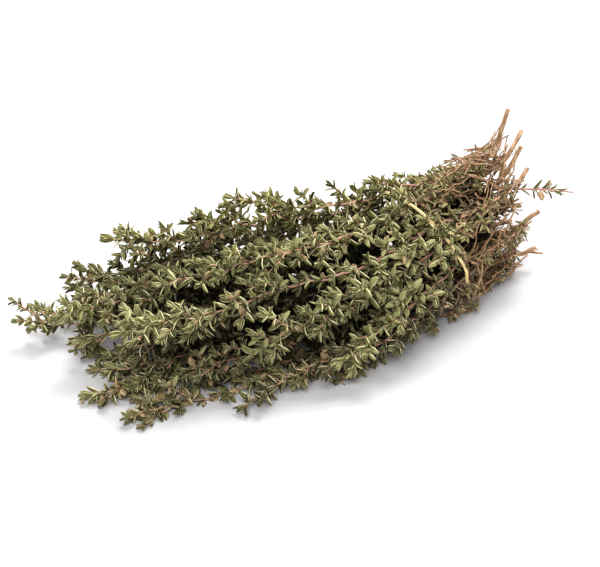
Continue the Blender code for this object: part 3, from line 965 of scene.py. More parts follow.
@dataclass
class Band:
    """The straw band that is tied round the waist, its ends tucked in underneath.

    It starts at one angle and turns on by another, and dips under the shoots between the angles in tucked,
    all in degrees. Each ripple has a height, how often it repeats round the bundle and where it starts.
    """

    envelope: Envelope
    middle: Vector = field(default_factory=lambda: Vector((61, 5, 25)) * MM)
    slant: Vector = field(default_factory=lambda: Vector((1.0, 0.2, 0.48)))
    reach: float = 0.97
    radius: float = 0.6 * MM
    straw_radius: float = 0.62 * MM
    points: int = 28
    steps: int = 150
    first: float = -100.0
    turned: float = 376.0
    outward: float = 0.8 * MM
    overlap: float = 0.5 * MM
    ripples: tuple[tuple[float, float, float], ...] = ((0.12 * MM, 17.0, 0.0), (0.08 * MM, 41.0, 1.0))
    swellings: tuple[float, float] = (0.14, 23.0)
    flatness: float = 0.5
    twist: float = 0.045
    tucked: tuple[tuple[float, float], ...] = ((30, 74), (89, 97), (127, 140), (153, 159), (182, 255))
    tuck: float = 2.6 * MM
    tuck_ease: float = 3.0

    def under(self, angle: float) -> float:
        """Tell how far the band dips under the shoots at an angle.

        Args:
            angle: The angle round the bundle.

        Returns:
            The distance.
        """
        degrees = math.degrees(angle) % 360.0
        ease = self.tuck_ease
        return self.tuck * max(smooth((degrees - low) / ease + 0.5) * smooth((high - degrees) / ease + 0.5)
                               for low, high in self.tucked)

    def point(self, angle: float) -> Vector:
        """Give the band's middle line at an angle round the bundle.

        Args:
            angle: The angle.

        Returns:
            The point.
        """
        x = self.middle.x
        for _ in range(12):
            point = self.envelope.place(x, self.reach * math.cos(angle), self.reach * math.sin(angle))
            offset = point - self.middle
            x = self.middle.x - (self.slant.y * offset.y + self.slant.z * offset.z) / self.slant.x
        if point.z < self.middle.z:
            point.z = max(self.radius, point.z - self.envelope.section(x)[3])
        return point

    def centre(self) -> Vector:
        """Give the middle of the box of the band's solid, in the plan's own frame."""
        line = [self.point(math.tau * i / self.points) for i in range(self.points)]
        return Vector(((min(p[k] for p in line) + max(p[k] for p in line)) / 2 for k in range(3)))

    def build(self, name: str) -> bpy.types.Mesh:
        """Model the band as one flat straw that goes round and overlaps itself under the bundle.

        Args:
            name: The name of the mesh.

        Returns:
            The mesh.
        """
        first, turned = math.radians(self.first), math.radians(self.turned)
        swelling, swellings = self.swellings
        points, radii = [], []
        for i in range(self.steps + 1):
            t = i / self.steps
            angle = first + turned * t
            point = self.point(angle)
            ripple = sum(height * math.sin(count * angle + start) for height, count, start in self.ripples)
            out = (point - self.middle).normalized()
            last = smooth((t - 0.94) / 0.04)
            point += out * (ripple + self.outward + self.overlap * last - self.under(angle))
            point.z = max(point.z, self.radius * 0.8)
            points.append(point)
            radii.append(self.straw_radius * (1.0 + swelling * math.sin(swellings * angle)))
        stems = Stems()
        ages = [0.5] * len(points)
        stems.grow(points, radii, ages, sides=12, flat=self.flatness, cut=True, twist=self.twist)
        return stems.mesh(name)


@dataclass
class Shoot:
    """One young shoot: its stem, its leaves and its side branches.

    The gaps between its joints are in millimetres from the tip down, and the last one repeats. Chances and
    lengths of the side branches depend on whether they grow out of the bundle, sideways or into it. The
    chance of a sideways one is a usual value, what is added to it on the top and what on the far side.
    """

    route: ShootRoute
    grower: Grower
    radius: tuple[float, float] = (0.66 * MM, 0.42 * MM)
    step: float = 3.5 * MM
    zigzag: tuple[float, float] = (0.6 * MM, 0.5 * MM)
    zigzag_turns: tuple[float, float] = (1.3, 1.9)
    zigzag_scatter: tuple[float, float] = (0.4, 1.0)
    sides: int = 7
    taper: float = 0.8
    greening: tuple[float, float] = (0.95, 1.15)
    tones: tuple[float, float] = (0.2, 0.8)
    old_from: float = 20 * MM
    old_run: float = 60 * MM
    bare: float = 0.4
    old_smaller: float = 0.12
    old_fewer: float = 0.35
    first_branch: int = 5
    branch_turn: float = 0.25
    inner_scale: float = 1.1
    inner_skip: float = 0.1
    outer_skip: float = 0.04
    inner_chance: float = 0.92
    inner_lengths: tuple[float, float] = (8.5, 19.5)
    out_chance: float = 0.66
    in_chance: float = 0.2
    side_chance: tuple[float, float, float] = (0.58, 0.42, 0.15)
    side_chances: tuple[float, float] = (0.22, 0.9)
    out_lengths: tuple[float, float] = (6.0, 13.0)
    side_lengths: tuple[float, float] = (6.0, 17.0)
    outer_gaps: tuple[float, ...] = (0.9, 1.3, 2.0, 2.9, 3.8, 4.4, 4.8, 5.1, 5.2)
    inner_gaps: tuple[float, ...] = (0.9, 1.5, 2.4, 3.6, 5.0, 6.5, 8.0)

    def line(self) -> list[Vector]:
        """List the stem's points from its fork to its tip.

        Returns:
            The points.
        """
        start, tip = self.route.start.x, self.route.tip_x
        count = max(4, math.ceil((start - tip) / self.step))
        xs = [start + (tip - start) * i / count for i in range(count + 1)]
        points = [self.route.at(x) for x in xs]
        keep_above(points, self.radius[1] + 0.1 * MM)
        return points

    def grow(self) -> None:
        """Grow the stem and all that it carries."""
        draw, grower = self.grower.draw, self.grower
        points = self.line()
        last = len(points) - 1
        thick, thin = self.radius
        phase = draw.uniform(0.0, math.tau)
        for i, point in enumerate(points[1:-1]):
            sway = self.zigzag[0] * math.sin(i * self.zigzag_turns[0] + phase)
            point.y += sway * draw.uniform(*self.zigzag_scatter)
            bob = self.zigzag[1] * math.sin(i * self.zigzag_turns[1] + 2.0 * phase)
            point.z = max(thin, point.z + bob)
        green, early = self.greening
        radii = [thick + (thin - thick) * (i / last) ** self.taper for i in range(last + 1)]
        ages = [1.0 - green * smooth(i / last * early) for i in range(last + 1)]
        grower.stems.grow(points, radii, ages, self.sides, draw.uniform(*self.tones))
        gaps = self.inner_gaps if self.route.inner else self.outer_gaps
        for joint in grower.joints(points[::-1], gaps, thin):
            old = smooth((joint.point.x - self.old_from) / self.old_run)
            if self.route.inner:
                self._inner_joint(joint, old)
            else:
                self._outer_joint(joint, old)

    def _inner_joint(self, joint: Joint, old: float) -> None:
        """Clothe a joint of a shoot that runs in the middle of the bundle.

        Args:
            joint: The joint.
            old: How old the stem is there.
        """
        draw, grower = self.grower.draw, self.grower
        grower.clothe(joint, self.inner_scale, 2, skip=self.inner_skip + self.bare * old)
        if joint.index >= self.first_branch and draw.random() < self.inner_chance:
            grower.branch(joint, draw.uniform(0.0, math.tau), draw.uniform(*self.inner_lengths) * MM, 1)

    def _outer_joint(self, joint: Joint, old: float) -> None:
        """Clothe a joint of a shoot that runs near the outside.

        Args:
            joint: The joint.
            old: How old the stem is there.
        """
        draw, grower, route = self.grower.draw, self.grower, self.route
        scale, skip = 1.0 - self.old_smaller * old, self.outer_skip + self.bare * old
        grower.clothe(joint, scale, min(3, joint.index // 2), skip)
        if joint.index < self.first_branch:
            return
        away = (joint.point - route.sprig.envelope.place(joint.point.x, 0.0, 0.0)).normalized()
        usual, top, far = self.side_chance
        lowest, highest = self.side_chances
        sideways = min(highest, max(lowest, usual + top * route.b + far * route.a))
        for turn in (math.pi / 2 * (joint.index % 2 + k) for k in (0, 2)):
            outward = joint.outward(turn).dot(away)
            chance = self.out_chance if outward > 0.3 else sideways if outward > -0.5 else self.in_chance
            if draw.random() < chance * (1.0 - self.old_fewer * old):
                lengths = self.out_lengths if outward > 0.5 else self.side_lengths
                turn += draw.uniform(-self.branch_turn, self.branch_turn)
                grower.branch(joint, turn, draw.uniform(*lengths) * MM, 2)


@dataclass
class WoodyStem:
    """The brown lower part of a sprig, with its bark, its cut end, spurs, stubs and loose twigs.

    Most pairs of numbers are the lowest and highest that is drawn: places from 0 at the fork to 1 at the cut
    end, angles in degrees and lengths in millimetres. A spur's taper and ages are the value at its foot and
    how much of it is lost on the way to its tip. A twig's turn has its usual size and its largest.
    """

    route: SprigRoute
    grower: Grower
    fork_radius: float = 1.7 * MM
    radius: float = 0.95 * MM
    bend: float = 0.9
    kink: float = 0.15
    steps: int = 13
    knot_height: float = 0.16 * MM
    knots: float = 5.3
    waves: float = 3.4
    stub_outward: float = 0.8
    stub_places: tuple[float, float] = (0.3, 0.8)
    stub_angles: tuple[float, float] = (8, 26)
    stub_lengths: tuple[float, float] = (5, 11)
    stub_radii: tuple[float, float] = (0.38, 0.72)
    stub_profile: tuple[float, ...] = (1.15, 1.0, 0.95, 1.0, 0.92, 0.9)
    spur_places: tuple[float, float] = (-0.1, 0.68)
    spur_angles: tuple[float, float] = (14, 38)
    spur_lengths: tuple[float, float] = (9, 26)
    spur_gaps: tuple[float, ...] = (0.8, 1.3, 2.0, 3.0, 4.2)
    spur_steps: int = 6
    spur_outward: float = 1.6
    spur_low: float = 0.9 * MM
    spur_radius: float = 0.5 * MM
    spur_taper: tuple[float, float] = (1.1, 0.5)
    spur_ages: tuple[float, float] = (0.95, 0.6)
    spur_scale: float = 0.9
    spur_skip: tuple[float, float] = (0.12, 0.55)
    bare_from: tuple[float, float] = (72 * MM, 30 * MM)
    bare_above: tuple[float, float] = (30 * MM, 18 * MM)
    twig_steps: int = 6
    twig_lengths: tuple[float, float] = (7, 22)
    twig_radii: tuple[float, ...] = (0.26, 0.32, 0.38, 0.5)
    twig_from: float = 66 * MM
    twig_middle_gap: float = 10 * MM
    twig_end_gap: float = 8 * MM
    twig_scatter: float = 0.3
    twig_turn: tuple[float, float] = (0.35, 0.55)
    twig_crook: float = 0.7
    twig_taper: float = 0.3
    outer_reach: tuple[float, float] = (0.62, 1.0)
    inner_reach: tuple[float, float] = (0.1, 0.6)
    spurs: int = 15
    stubs: int = 2
    twigs: int = 50

    def __post_init__(self) -> None:
        """Draw how the stem is bent."""
        draw = self.grower.draw
        bends = draw.uniform(-self.bend, self.bend), draw.uniform(-self.bend, self.bend)
        self.crook = Vector((0.0, *bends)) * MM

    def line(self) -> tuple[list[Vector], list[float]]:
        """Lay out the stem from where the shoots cover it to its cut end.

        Returns:
            The points and the radius at each.
        """
        draw = self.grower.draw
        fork, heading = self.route.fork, self.route.heading
        points = [fork + heading * 5 * MM, fork + heading * 2 * MM]
        radii = [self.radius * 0.8, self.fork_radius * 0.93]
        for i in range(self.steps + 1):
            t = i / self.steps
            knot = self.knot_height * math.sin(self.knots * math.pi * t + self.route.number) ** 4
            kinks = draw.uniform(-self.kink, self.kink), draw.uniform(-self.kink, self.kink)
            bend = Vector((0.0, *kinks)) * MM
            bend += self.crook * (math.sin(self.waves * math.pi * t) * smooth(2.5 * t))
            points.append(self.route.wood_point(t) + bend)
            slim = smooth(t * 3.2)
            radii.append(self.fork_radius * (1.0 - slim) + self.radius * slim + knot)
        return points, radii

    def grow(self, stems: Stems) -> None:
        """Grow the wood and what it carries.

        Args:
            stems: Where the bare wood goes. What is leafy goes with the shoots.
        """
        points, radii = self.line()
        draw = self.grower.draw
        stems.grow(points, radii, [1.0] * len(points), 10, draw.uniform(0.2, 0.9), cut=True)
        for _ in range(self.stubs):
            self._stub(stems, self.route.wood_point(draw.uniform(*self.stub_places)))
        for _ in range(self.spurs):
            self._spur(draw.uniform(*self.spur_places))
        for _ in range(self.twigs):
            self._twig(stems)

    def _sideways(self, along: Vector, tilt: float, outward: float) -> Vector:
        """Draw a direction that leaves the wood.

        Args:
            along: The direction that it leaves from.
            tilt: Its angle to that, in degrees.
            outward: How strongly it turns out of the bundle.

        Returns:
            The unit direction.
        """
        draw = self.grower.draw
        out = Vector((0.0, math.cos(self.route.angle), math.sin(self.route.angle))) * outward
        out += Vector((0.0, draw.uniform(-1, 1), draw.uniform(-1, 1)))
        side, _ = across(along, out)
        angle = math.radians(tilt)
        return (along * math.cos(angle) + side * math.sin(angle)).normalized()

    def _wander(self, foot: Vector, heading: Vector, turn: Vector, length: float, steps: int,
               rise: tuple[float, float]) -> list[Vector]:
        """Lay out a twig that turns a little at each step.

        Args:
            foot: Where it starts.
            heading: The direction in which it leaves.
            turn: What is added to its direction at each step.
            length: Its length.
            steps: The number of steps.
            rise: The lowest and highest turn upwards that is drawn at each step.

        Returns:
            Its points.
        """
        draw = self.grower.draw
        points = [foot]
        for _ in range(steps):
            heading = (heading + turn + UP * draw.uniform(*rise)).normalized()
            points.append(points[-1] + heading * length / steps)
        return points

    def _stub(self, stems: Stems, base: Vector) -> None:
        """Grow a thin bare twig that was cut with the stem.

        Args:
            stems: Where it goes.
            base: Where it leaves the wood.
        """
        draw = self.grower.draw
        along = (self.route.wood_point(1.0) - self.route.wood_point(0.6)).normalized()
        heading = self._sideways(along, draw.uniform(*self.stub_angles), self.stub_outward)
        length = draw.uniform(*self.stub_lengths) * MM
        steps = len(self.stub_profile) - 1
        points = self._wander(base, heading, along * 0.05, length, steps, (-0.06, 0.08))
        size = draw.uniform(*self.stub_radii) * MM
        radii = [size * share for share in self.stub_profile]
        keep_above(points, size + 0.1 * MM)
        stems.grow(points, radii, [1.0] * len(points), 7, draw.uniform(0.2, 1.0), cut=True)

    def _twig(self, stems: Stems) -> None:
        """Grow a thin crooked dry twig along the outside of the bundle, near the wood.

        Args:
            stems: Where it goes.
        """
        draw, route = self.grower.draw, self.route
        reach = draw.uniform(*(self.outer_reach if route.outer else self.inner_reach))
        angle = route.angle + draw.gauss(0.0, self.twig_scatter)
        usual, most = self.twig_turn
        turn = max(-most, min(most, draw.gauss(0.0, usual)))
        length = draw.uniform(*self.twig_lengths) * MM
        middle = draw.uniform(self.twig_from, route.cut_x - self.twig_middle_gap)
        size = draw.choice(self.twig_radii) * MM
        steps = self.twig_steps
        points = []
        for k in range(steps + 1):
            x = middle + length * (k / steps - 0.5)
            if x > route.cut_x - self.twig_end_gap:
                break
            here = angle + turn * (k / steps - 0.5)
            t = max(0.0, (x - route.fork_x) / (route.cut_x - route.fork_x))
            point = route.envelope.place(x, reach * math.cos(here), reach * math.sin(here))
            crook = Vector([draw.uniform(-self.twig_crook, self.twig_crook) for _ in range(3)]) * MM
            points.append(point + (crook + route.pull * min(1.0, t * t)))
        if len(points) < 3:
            return
        keep_above(points, size + 0.1 * MM)
        radii = [size * (1.0 - self.twig_taper * k / steps) for k in range(len(points))]
        stems.grow(points, radii, [1.0] * len(points), 5, draw.uniform(0.3, 1.0), cut=True)

    def _spur(self, t: float) -> None:
        """Grow a thin leafy twig from the wood towards the shoots.

        Args:
            t: Where it leaves the wood, from 0 at the fork to 1 at the cut end.
        """
        draw = self.grower.draw
        base = self.route.wood_point(t)
        along = (self.route.fork - self.route.wood_point(0.5)).normalized()
        heading = self._sideways(along, draw.uniform(*self.spur_angles), self.spur_outward)
        length = draw.uniform(*self.spur_lengths) * MM
        steps = self.spur_steps
        points = self._wander(base, heading, along * 0.07, length, steps, (-0.03, 0.05))
        keep_above(points, self.spur_low)
        (thick, taper), (oldest, younger) = self.spur_taper, self.spur_ages
        radii = [self.spur_radius * (thick - taper * k / steps) for k in range(steps + 1)]
        ages = [oldest - younger * k / steps for k in range(steps + 1)]
        grower = self.grower
        grower.stems.grow(points, radii, ages, 6, draw.uniform(0.3, 0.9))
        (near, run), (low, rise) = self.bare_from, self.bare_above
        for joint in grower.joints(points[::-1], self.spur_gaps, radii[-1]):
            bare = smooth((joint.point.x - near) / run) * smooth((joint.point.z - low) / rise)
            skip = self.spur_skip[0] + self.spur_skip[1] * bare
            grower.clothe(joint, self.spur_scale, 1 if joint.index > 2 else 0, skip)


@dataclass
class NodeGraph:
    """A material's nodes, with short ways to add and join them."""

    name: str

    def __post_init__(self) -> None:
        """Make the material with its Principled shader."""
        self.material = bpy.data.materials.new(self.name)
        self.material.use_nodes = True
        self.nodes = self.material.node_tree.nodes
        self.shader = self.nodes["Principled BSDF"]

    def join(self, source: bpy.types.NodeSocket, target: bpy.types.NodeSocket) -> None:
        """Join two sockets."""
        self.material.node_tree.links.new(source, target)

    def feed(self, target: bpy.types.NodeSocket, value: object) -> None:
        """Give a socket a value, or join it to another.

        Args:
            target: The socket.
            value: The value, or the socket that it is joined to.
        """
        if isinstance(value, bpy.types.NodeSocket):
            self.join(value, target)
        else:
            target.default_value = value

    def attribute(self, name: str) -> list[bpy.types.NodeSocket]:
        """Read a vector attribute of the mesh.

        Args:
            name: The attribute's name.

        Returns:
            The sockets of its three numbers and of the whole.
        """
        node = self.nodes.new("ShaderNodeAttribute")
        node.attribute_name = name
        split = self.nodes.new("ShaderNodeSeparateXYZ")
        self.join(node.outputs["Vector"], split.inputs[0])
        return [*split.outputs, node.outputs["Vector"]]

    def number(self, name: str) -> bpy.types.NodeSocket:
        """Read a number that the mesh holds as an attribute.

        Args:
            name: The attribute's name.

        Returns:
            The number's socket.
        """
        node = self.nodes.new("ShaderNodeAttribute")
        node.attribute_name = name
        return node.outputs["Fac"]

    def place(self) -> bpy.types.NodeSocket:
        """Read the Object coordinates."""
        return self.nodes.new("ShaderNodeTexCoord").outputs["Object"]

    def math(self, kind: str, first: object, second: object = 0.0) -> bpy.types.NodeSocket:
        """Work out a number.

        Args:
            kind: The kind of sum, such as MULTIPLY.
            first: The first value or socket.
            second: The second value or socket.

        Returns:
            The result's socket.
        """
        node = self.nodes.new("ShaderNodeMath")
        node.operation = kind
        self.feed(node.inputs[0], first)
        self.feed(node.inputs[1], second)
        return node.outputs[0]

    def ramp(self, value: bpy.types.NodeSocket, low: float, high: float) -> bpy.types.NodeSocket:
        """Ease a number from 0 to 1.

        Args:
            value: The number.
            low: Where the result is 0.
            high: Where the result is 1.

        Returns:
            The result's socket.
        """
        node = self.nodes.new("ShaderNodeMapRange")
        node.interpolation_type = "SMOOTHSTEP"
        self.join(value, node.inputs["Value"])
        node.inputs["From Min"].default_value = low
        node.inputs["From Max"].default_value = high
        return node.outputs["Result"]

    def noise(self, vector: bpy.types.NodeSocket, scale: float, detail: float = 3.0) -> bpy.types.NodeSocket:
        """Add a noise pattern.

        Args:
            vector: Where it is read.
            scale: How many times it repeats in a unit.
            detail: How many finer layers it has.

        Returns:
            Its value's socket.
        """
        node = self.nodes.new("ShaderNodeTexNoise")
        self.join(vector, node.inputs["Vector"])
        node.inputs["Scale"].default_value = scale
        node.inputs["Detail"].default_value = detail
        return node.outputs["Fac"]

    def stretch(self, vector: bpy.types.NodeSocket, scale: tuple[float, ...]) -> bpy.types.NodeSocket:
        """Stretch a pattern's coordinates.

        Args:
            vector: The coordinates.
            scale: How much the pattern is pressed together along each axis.

        Returns:
            The new coordinates' socket.
        """
        node = self.nodes.new("ShaderNodeMapping")
        self.join(vector, node.inputs["Vector"])
        node.inputs["Scale"].default_value = scale
        return node.outputs["Vector"]

    def colours(self, value: bpy.types.NodeSocket,
                stops: dict[float, tuple[float, ...]]) -> bpy.types.NodeSocket:
        """Turn a number into a colour.

        Args:
            value: The number.
            stops: The colour at each place from 0 to 1.

        Returns:
            The colour's socket.
        """
        node = self.nodes.new("ShaderNodeValToRGB")
        self.join(value, node.inputs["Fac"])
        elements = node.color_ramp.elements
        for i, (at, colour) in enumerate(stops.items()):
            element = elements[i] if i < 2 else elements.new(at)
            element.position = at
            element.color = (*colour, 1.0)
        return node.outputs["Color"]

    def mix(self, share: object, first: object, second: object, kind: str = "MIX") -> bpy.types.NodeSocket:
        """Mix two colours.

        Args:
            share: How much of the second there is.
            first: The first colour or socket.
            second: The second colour or socket.
            kind: The kind of mix.

        Returns:
            The colour's socket.
        """
        node = self.nodes.new("ShaderNodeMix")
        node.data_type = "RGBA"
        node.blend_type = kind
        self.feed(node.inputs[0], share)
        for target, value in ((node.inputs[6], first), (node.inputs[7], second)):
            self.feed(target, value if isinstance(value, bpy.types.NodeSocket) else (*value, 1.0))
        return node.outputs[2]

    def vary(self, value: bpy.types.NodeSocket, pattern: bpy.types.NodeSocket) -> bpy.types.NodeSocket:
        """Let a number go up and down with a pattern."""
        return self.math("ADD", value, self.math("MULTIPLY", self.math("SUBTRACT", pattern, 0.5), 0.5))

    def overlay(self, colour: object, share: bpy.types.NodeSocket, strength: float,
                other: object) -> bpy.types.NodeSocket:
        """Lay a second colour over the parts of a colour where a number is high.

        Args:
            colour: The colour or its socket.
            share: The number, from 0 to 1.
            strength: How much of the second colour shows where the number is 1.
            other: The second colour.

        Returns:
            The colour's socket.
        """
        return self.mix(self.math("MULTIPLY", share, strength), colour, other)

    def brighten(self, colour: bpy.types.NodeSocket, light: bpy.types.NodeSocket) -> bpy.types.NodeSocket:
        """Multiply a colour by a brightness."""
        return self.mix(1.0, colour, self.mix(light, BLACK, WHITE), "MULTIPLY")

    def vary_light(self, colour: bpy.types.NodeSocket, tone: bpy.types.NodeSocket,
                   lowest: float) -> bpy.types.NodeSocket:
        """Make a colour darker or lighter by the piece's own tone."""
        return self.brighten(colour, self.math("ADD", lowest, self.math("MULTIPLY", tone, 0.6)))

    def paint_depth_shade(self, colour: bpy.types.NodeSocket, depth: bpy.types.NodeSocket) -> bpy.types.NodeSocket:
        """Paint shade on a colour, darker towards the middle of the bundle where little light reaches."""
        return self.brighten(colour, self.math("SUBTRACT", 1.0, self.math("MULTIPLY", depth, 0.9)))

    def finish(self, colour: bpy.types.NodeSocket, roughness: float, height: bpy.types.NodeSocket,
               depth: float, strength: float, specular: float = 0.35) -> bpy.types.Material:
        """Join the colour and the relief to the shader.

        Args:
            colour: The colour.
            roughness: The roughness.
            height: The relief's height.
            depth: The relief's depth in metres.
            strength: The relief's strength.
            specular: The specular level.

        Returns:
            The material.
        """
        bump = self.nodes.new("ShaderNodeBump")
        bump.inputs["Distance"].default_value = depth
        bump.inputs["Strength"].default_value = strength
        self.join(height, bump.inputs["Height"])
        self.join(bump.outputs["Normal"], self.shader.inputs["Normal"])
        self.join(colour, self.shader.inputs["Base Color"])
        self.shader.inputs["Roughness"].default_value = roughness
        self.shader.inputs["Specular IOR Level"].default_value = specular
        return self.material


@dataclass(frozen=True)
class LeafFinish:
    """Grey-olive leaves with pale rolled rims, a pale rib and short hairs.

    The attribute tint holds a leaf's tone, how deep it lies in the bundle, which sets the painted shade that
    darkens it, and how dry it is. The attribute fresh says how far its green turns fresh and yellowish.
    """

    dark: tuple[float, ...] = (0.014, 0.017, 0.002)
    olive: tuple[float, ...] = (0.048, 0.062, 0.007)
    grey: tuple[float, ...] = (0.112, 0.130, 0.029)
    pale: tuple[float, ...] = (0.295, 0.308, 0.122)
    rim: tuple[float, ...] = (0.940, 0.840, 0.560)
    fresh: tuple[float, ...] = (0.235, 0.250, 0.018)
    rust: tuple[float, ...] = (0.440, 0.280, 0.170)
    umber: tuple[float, ...] = (0.270, 0.165, 0.100)

    def build(self) -> bpy.types.Material:
        """Build the material.

        Returns:
            The material.
        """
        graph = NodeGraph("thyme_leaf")
        side, along, _, _ = graph.attribute("grain")
        tone, depth, dry, _ = graph.attribute("tint")
        place = graph.place()
        mottle = graph.noise(place, 900.0)
        fuzz = graph.noise(place, 5200.0, 2.0)
        edge = graph.math("ABSOLUTE", side)
        rim = graph.ramp(edge, 0.7, 0.92)
        rib = graph.math("SUBTRACT", 1.0, graph.ramp(edge, 0.03, 0.17))
        value = graph.vary(tone, mottle)
        colour = graph.colours(value, {0.0: self.dark, 1.0: self.pale, 0.38: self.olive, 0.68: self.grey})
        colour = graph.overlay(colour, graph.ramp(graph.number("fresh"), 0.3, 1.0), 0.45, self.fresh)
        colour = graph.overlay(colour, rim, 0.82, self.rim)
        colour = graph.overlay(colour, rib, 0.4, self.rim)
        brown = graph.colours(mottle, {0.35: self.umber, 0.65: self.rust})
        colour = graph.mix(dry, colour, brown)
        hairs = graph.mix(0.14, colour, graph.colours(fuzz, {0.42: self.dark, 0.62: self.rim}))
        slant = graph.math("ADD", graph.math("MULTIPLY", along, 26.0), graph.math("MULTIPLY", edge, 5.0))
        veins = graph.math("ABSOLUTE", graph.math("SINE", slant))
        height = graph.math("ADD", graph.math("MULTIPLY", veins, 0.35), fuzz)
        # Painted shade: the leaves are darker towards the middle of the bundle, by the depth in tint.
        colour = graph.paint_depth_shade(hairs, depth)
        return graph.finish(colour, roughness=0.7, height=height, depth=0.06 * MM, strength=0.8, specular=0.1)


@dataclass(frozen=True)
class StemFinish:
    """Young stems: green at the tip, then mauve red, then brown towards the wood.

    The attribute tint holds a place's age and the stem's tone. The attribute depth sets the painted shade
    towards the middle of the bundle.
    """

    green: tuple[float, ...] = (0.330, 0.240, 0.110)
    mauve: tuple[float, ...] = (0.560, 0.310, 0.240)
    red: tuple[float, ...] = (0.420, 0.220, 0.160)
    brown: tuple[float, ...] = (0.400, 0.260, 0.170)
    dark: tuple[float, ...] = (0.120, 0.065, 0.040)
    pale: tuple[float, ...] = (0.620, 0.500, 0.360)

    def build(self) -> bpy.types.Material:
        """Build the material.

        Returns:
            The material.
        """
        graph = NodeGraph("thyme_young_stem")
        _, _, _, grain = graph.attribute("grain")
        age, tone, _, _ = graph.attribute("tint")
        streaks = graph.noise(graph.stretch(grain, (3.0, 3.0, 0.35)), 1.0, 4.0)
        blotches = graph.noise(graph.place(), 260.0)
        value = graph.vary(age, blotches)
        colour = graph.colours(value, {0.0: self.green, 1.0: self.brown, 0.25: self.mauve, 0.6: self.red})
        colour = graph.overlay(colour, graph.ramp(streaks, 0.5, 0.72), 0.5, self.pale)
        colour = graph.overlay(colour, graph.ramp(streaks, 0.5, 0.32), 0.6, self.dark)
        colour = graph.vary_light(colour, tone, 0.7)
        # Painted shade: the stems are darker towards the middle of the bundle.
        colour = graph.paint_depth_shade(colour, graph.number("depth"))
        return graph.finish(colour, roughness=0.6, height=streaks, depth=0.12 * MM, strength=0.7)


@dataclass(frozen=True)
class BarkFinish:
    """Thin pinkish-brown bark that splits lengthwise, and pale wood at the cuts.

    The attribute tint holds the stem's tone and where its cut faces are. The attribute depth sets the painted
    shade towards the middle of the bundle.
    """

    deep: tuple[float, ...] = (0.200, 0.108, 0.050)
    brown: tuple[float, ...] = (0.410, 0.255, 0.145)
    tan: tuple[float, ...] = (0.600, 0.420, 0.270)
    wood: tuple[float, ...] = (0.640, 0.500, 0.320)
    pith: tuple[float, ...] = (0.380, 0.250, 0.140)

    def build(self) -> bpy.types.Material:
        """Build the material.

        Returns:
            The material.
        """
        graph = NodeGraph("thyme_bark")
        x, y, _, grain = graph.attribute("grain")
        _, tone, cut, _ = graph.attribute("tint")
        fissures = graph.noise(graph.stretch(grain, (2.4, 2.4, 0.22)), 1.0, 5.0)
        flakes = graph.noise(graph.stretch(grain, (1.1, 1.1, 0.5)), 1.0, 3.0)
        relief = graph.math("ADD", graph.ramp(fissures, 0.38, 0.62), graph.math("MULTIPLY", flakes, 0.5))
        colour = graph.colours(fissures, {0.3: self.deep, 0.7: self.tan, 0.5: self.brown})
        colour = graph.overlay(colour, graph.ramp(flakes, 0.5, 0.7), 0.5, self.tan)
        colour = graph.vary_light(colour, tone, 0.65)
        squares = graph.math("ADD", graph.math("MULTIPLY", x, x), graph.math("MULTIPLY", y, y))
        out = graph.math("SQRT", squares)
        rings = graph.math("ABSOLUTE", graph.math("SINE", graph.math("MULTIPLY", out, 9.0)))
        face = graph.overlay(self.wood, rings, 0.35, self.pith)
        colour = graph.mix(graph.ramp(cut, 0.2, 0.8), colour, face)
        # Painted shade: the wood is darker towards the middle of the bundle.
        colour = graph.paint_depth_shade(colour, graph.number("depth"))
        return graph.finish(colour, roughness=0.78, height=relief, depth=0.22 * MM, strength=0.8,
                            specular=0.25)


@dataclass(frozen=True)
class StrawFinish:
    """Dry pale-yellow straw with fine fibres along it."""

    shadow: tuple[float, ...] = (0.500, 0.360, 0.140)
    straw: tuple[float, ...] = (0.780, 0.630, 0.310)
    light: tuple[float, ...] = (0.900, 0.800, 0.500)

    def build(self) -> bpy.types.Material:
        """Build the material.

        Returns:
            The material.
        """
        graph = NodeGraph("tie_straw")
        _, _, _, grain = graph.attribute("grain")
        fibres = graph.noise(graph.stretch(grain, (9.0, 9.0, 0.25)), 1.0, 4.0)
        blotches = graph.noise(graph.place(), 180.0)
        colour = graph.colours(fibres, {0.3: self.shadow, 0.7: self.light, 0.5: self.straw})
        colour = graph.overlay(colour, graph.ramp(blotches, 0.5, 0.75), 0.35, self.shadow)
        return graph.finish(colour, roughness=0.5, height=fibres, depth=0.15 * MM, strength=0.7,
                            specular=0.45)


@dataclass
class Finishes:
    """The object's materials."""

    leaf: bpy.types.Material = field(default_factory=lambda: LeafFinish().build())
    stem: bpy.types.Material = field(default_factory=lambda: StemFinish().build())
    bark: bpy.types.Material = field(default_factory=lambda: BarkFinish().build())
    straw: bpy.types.Material = field(default_factory=lambda: StrawFinish().build())


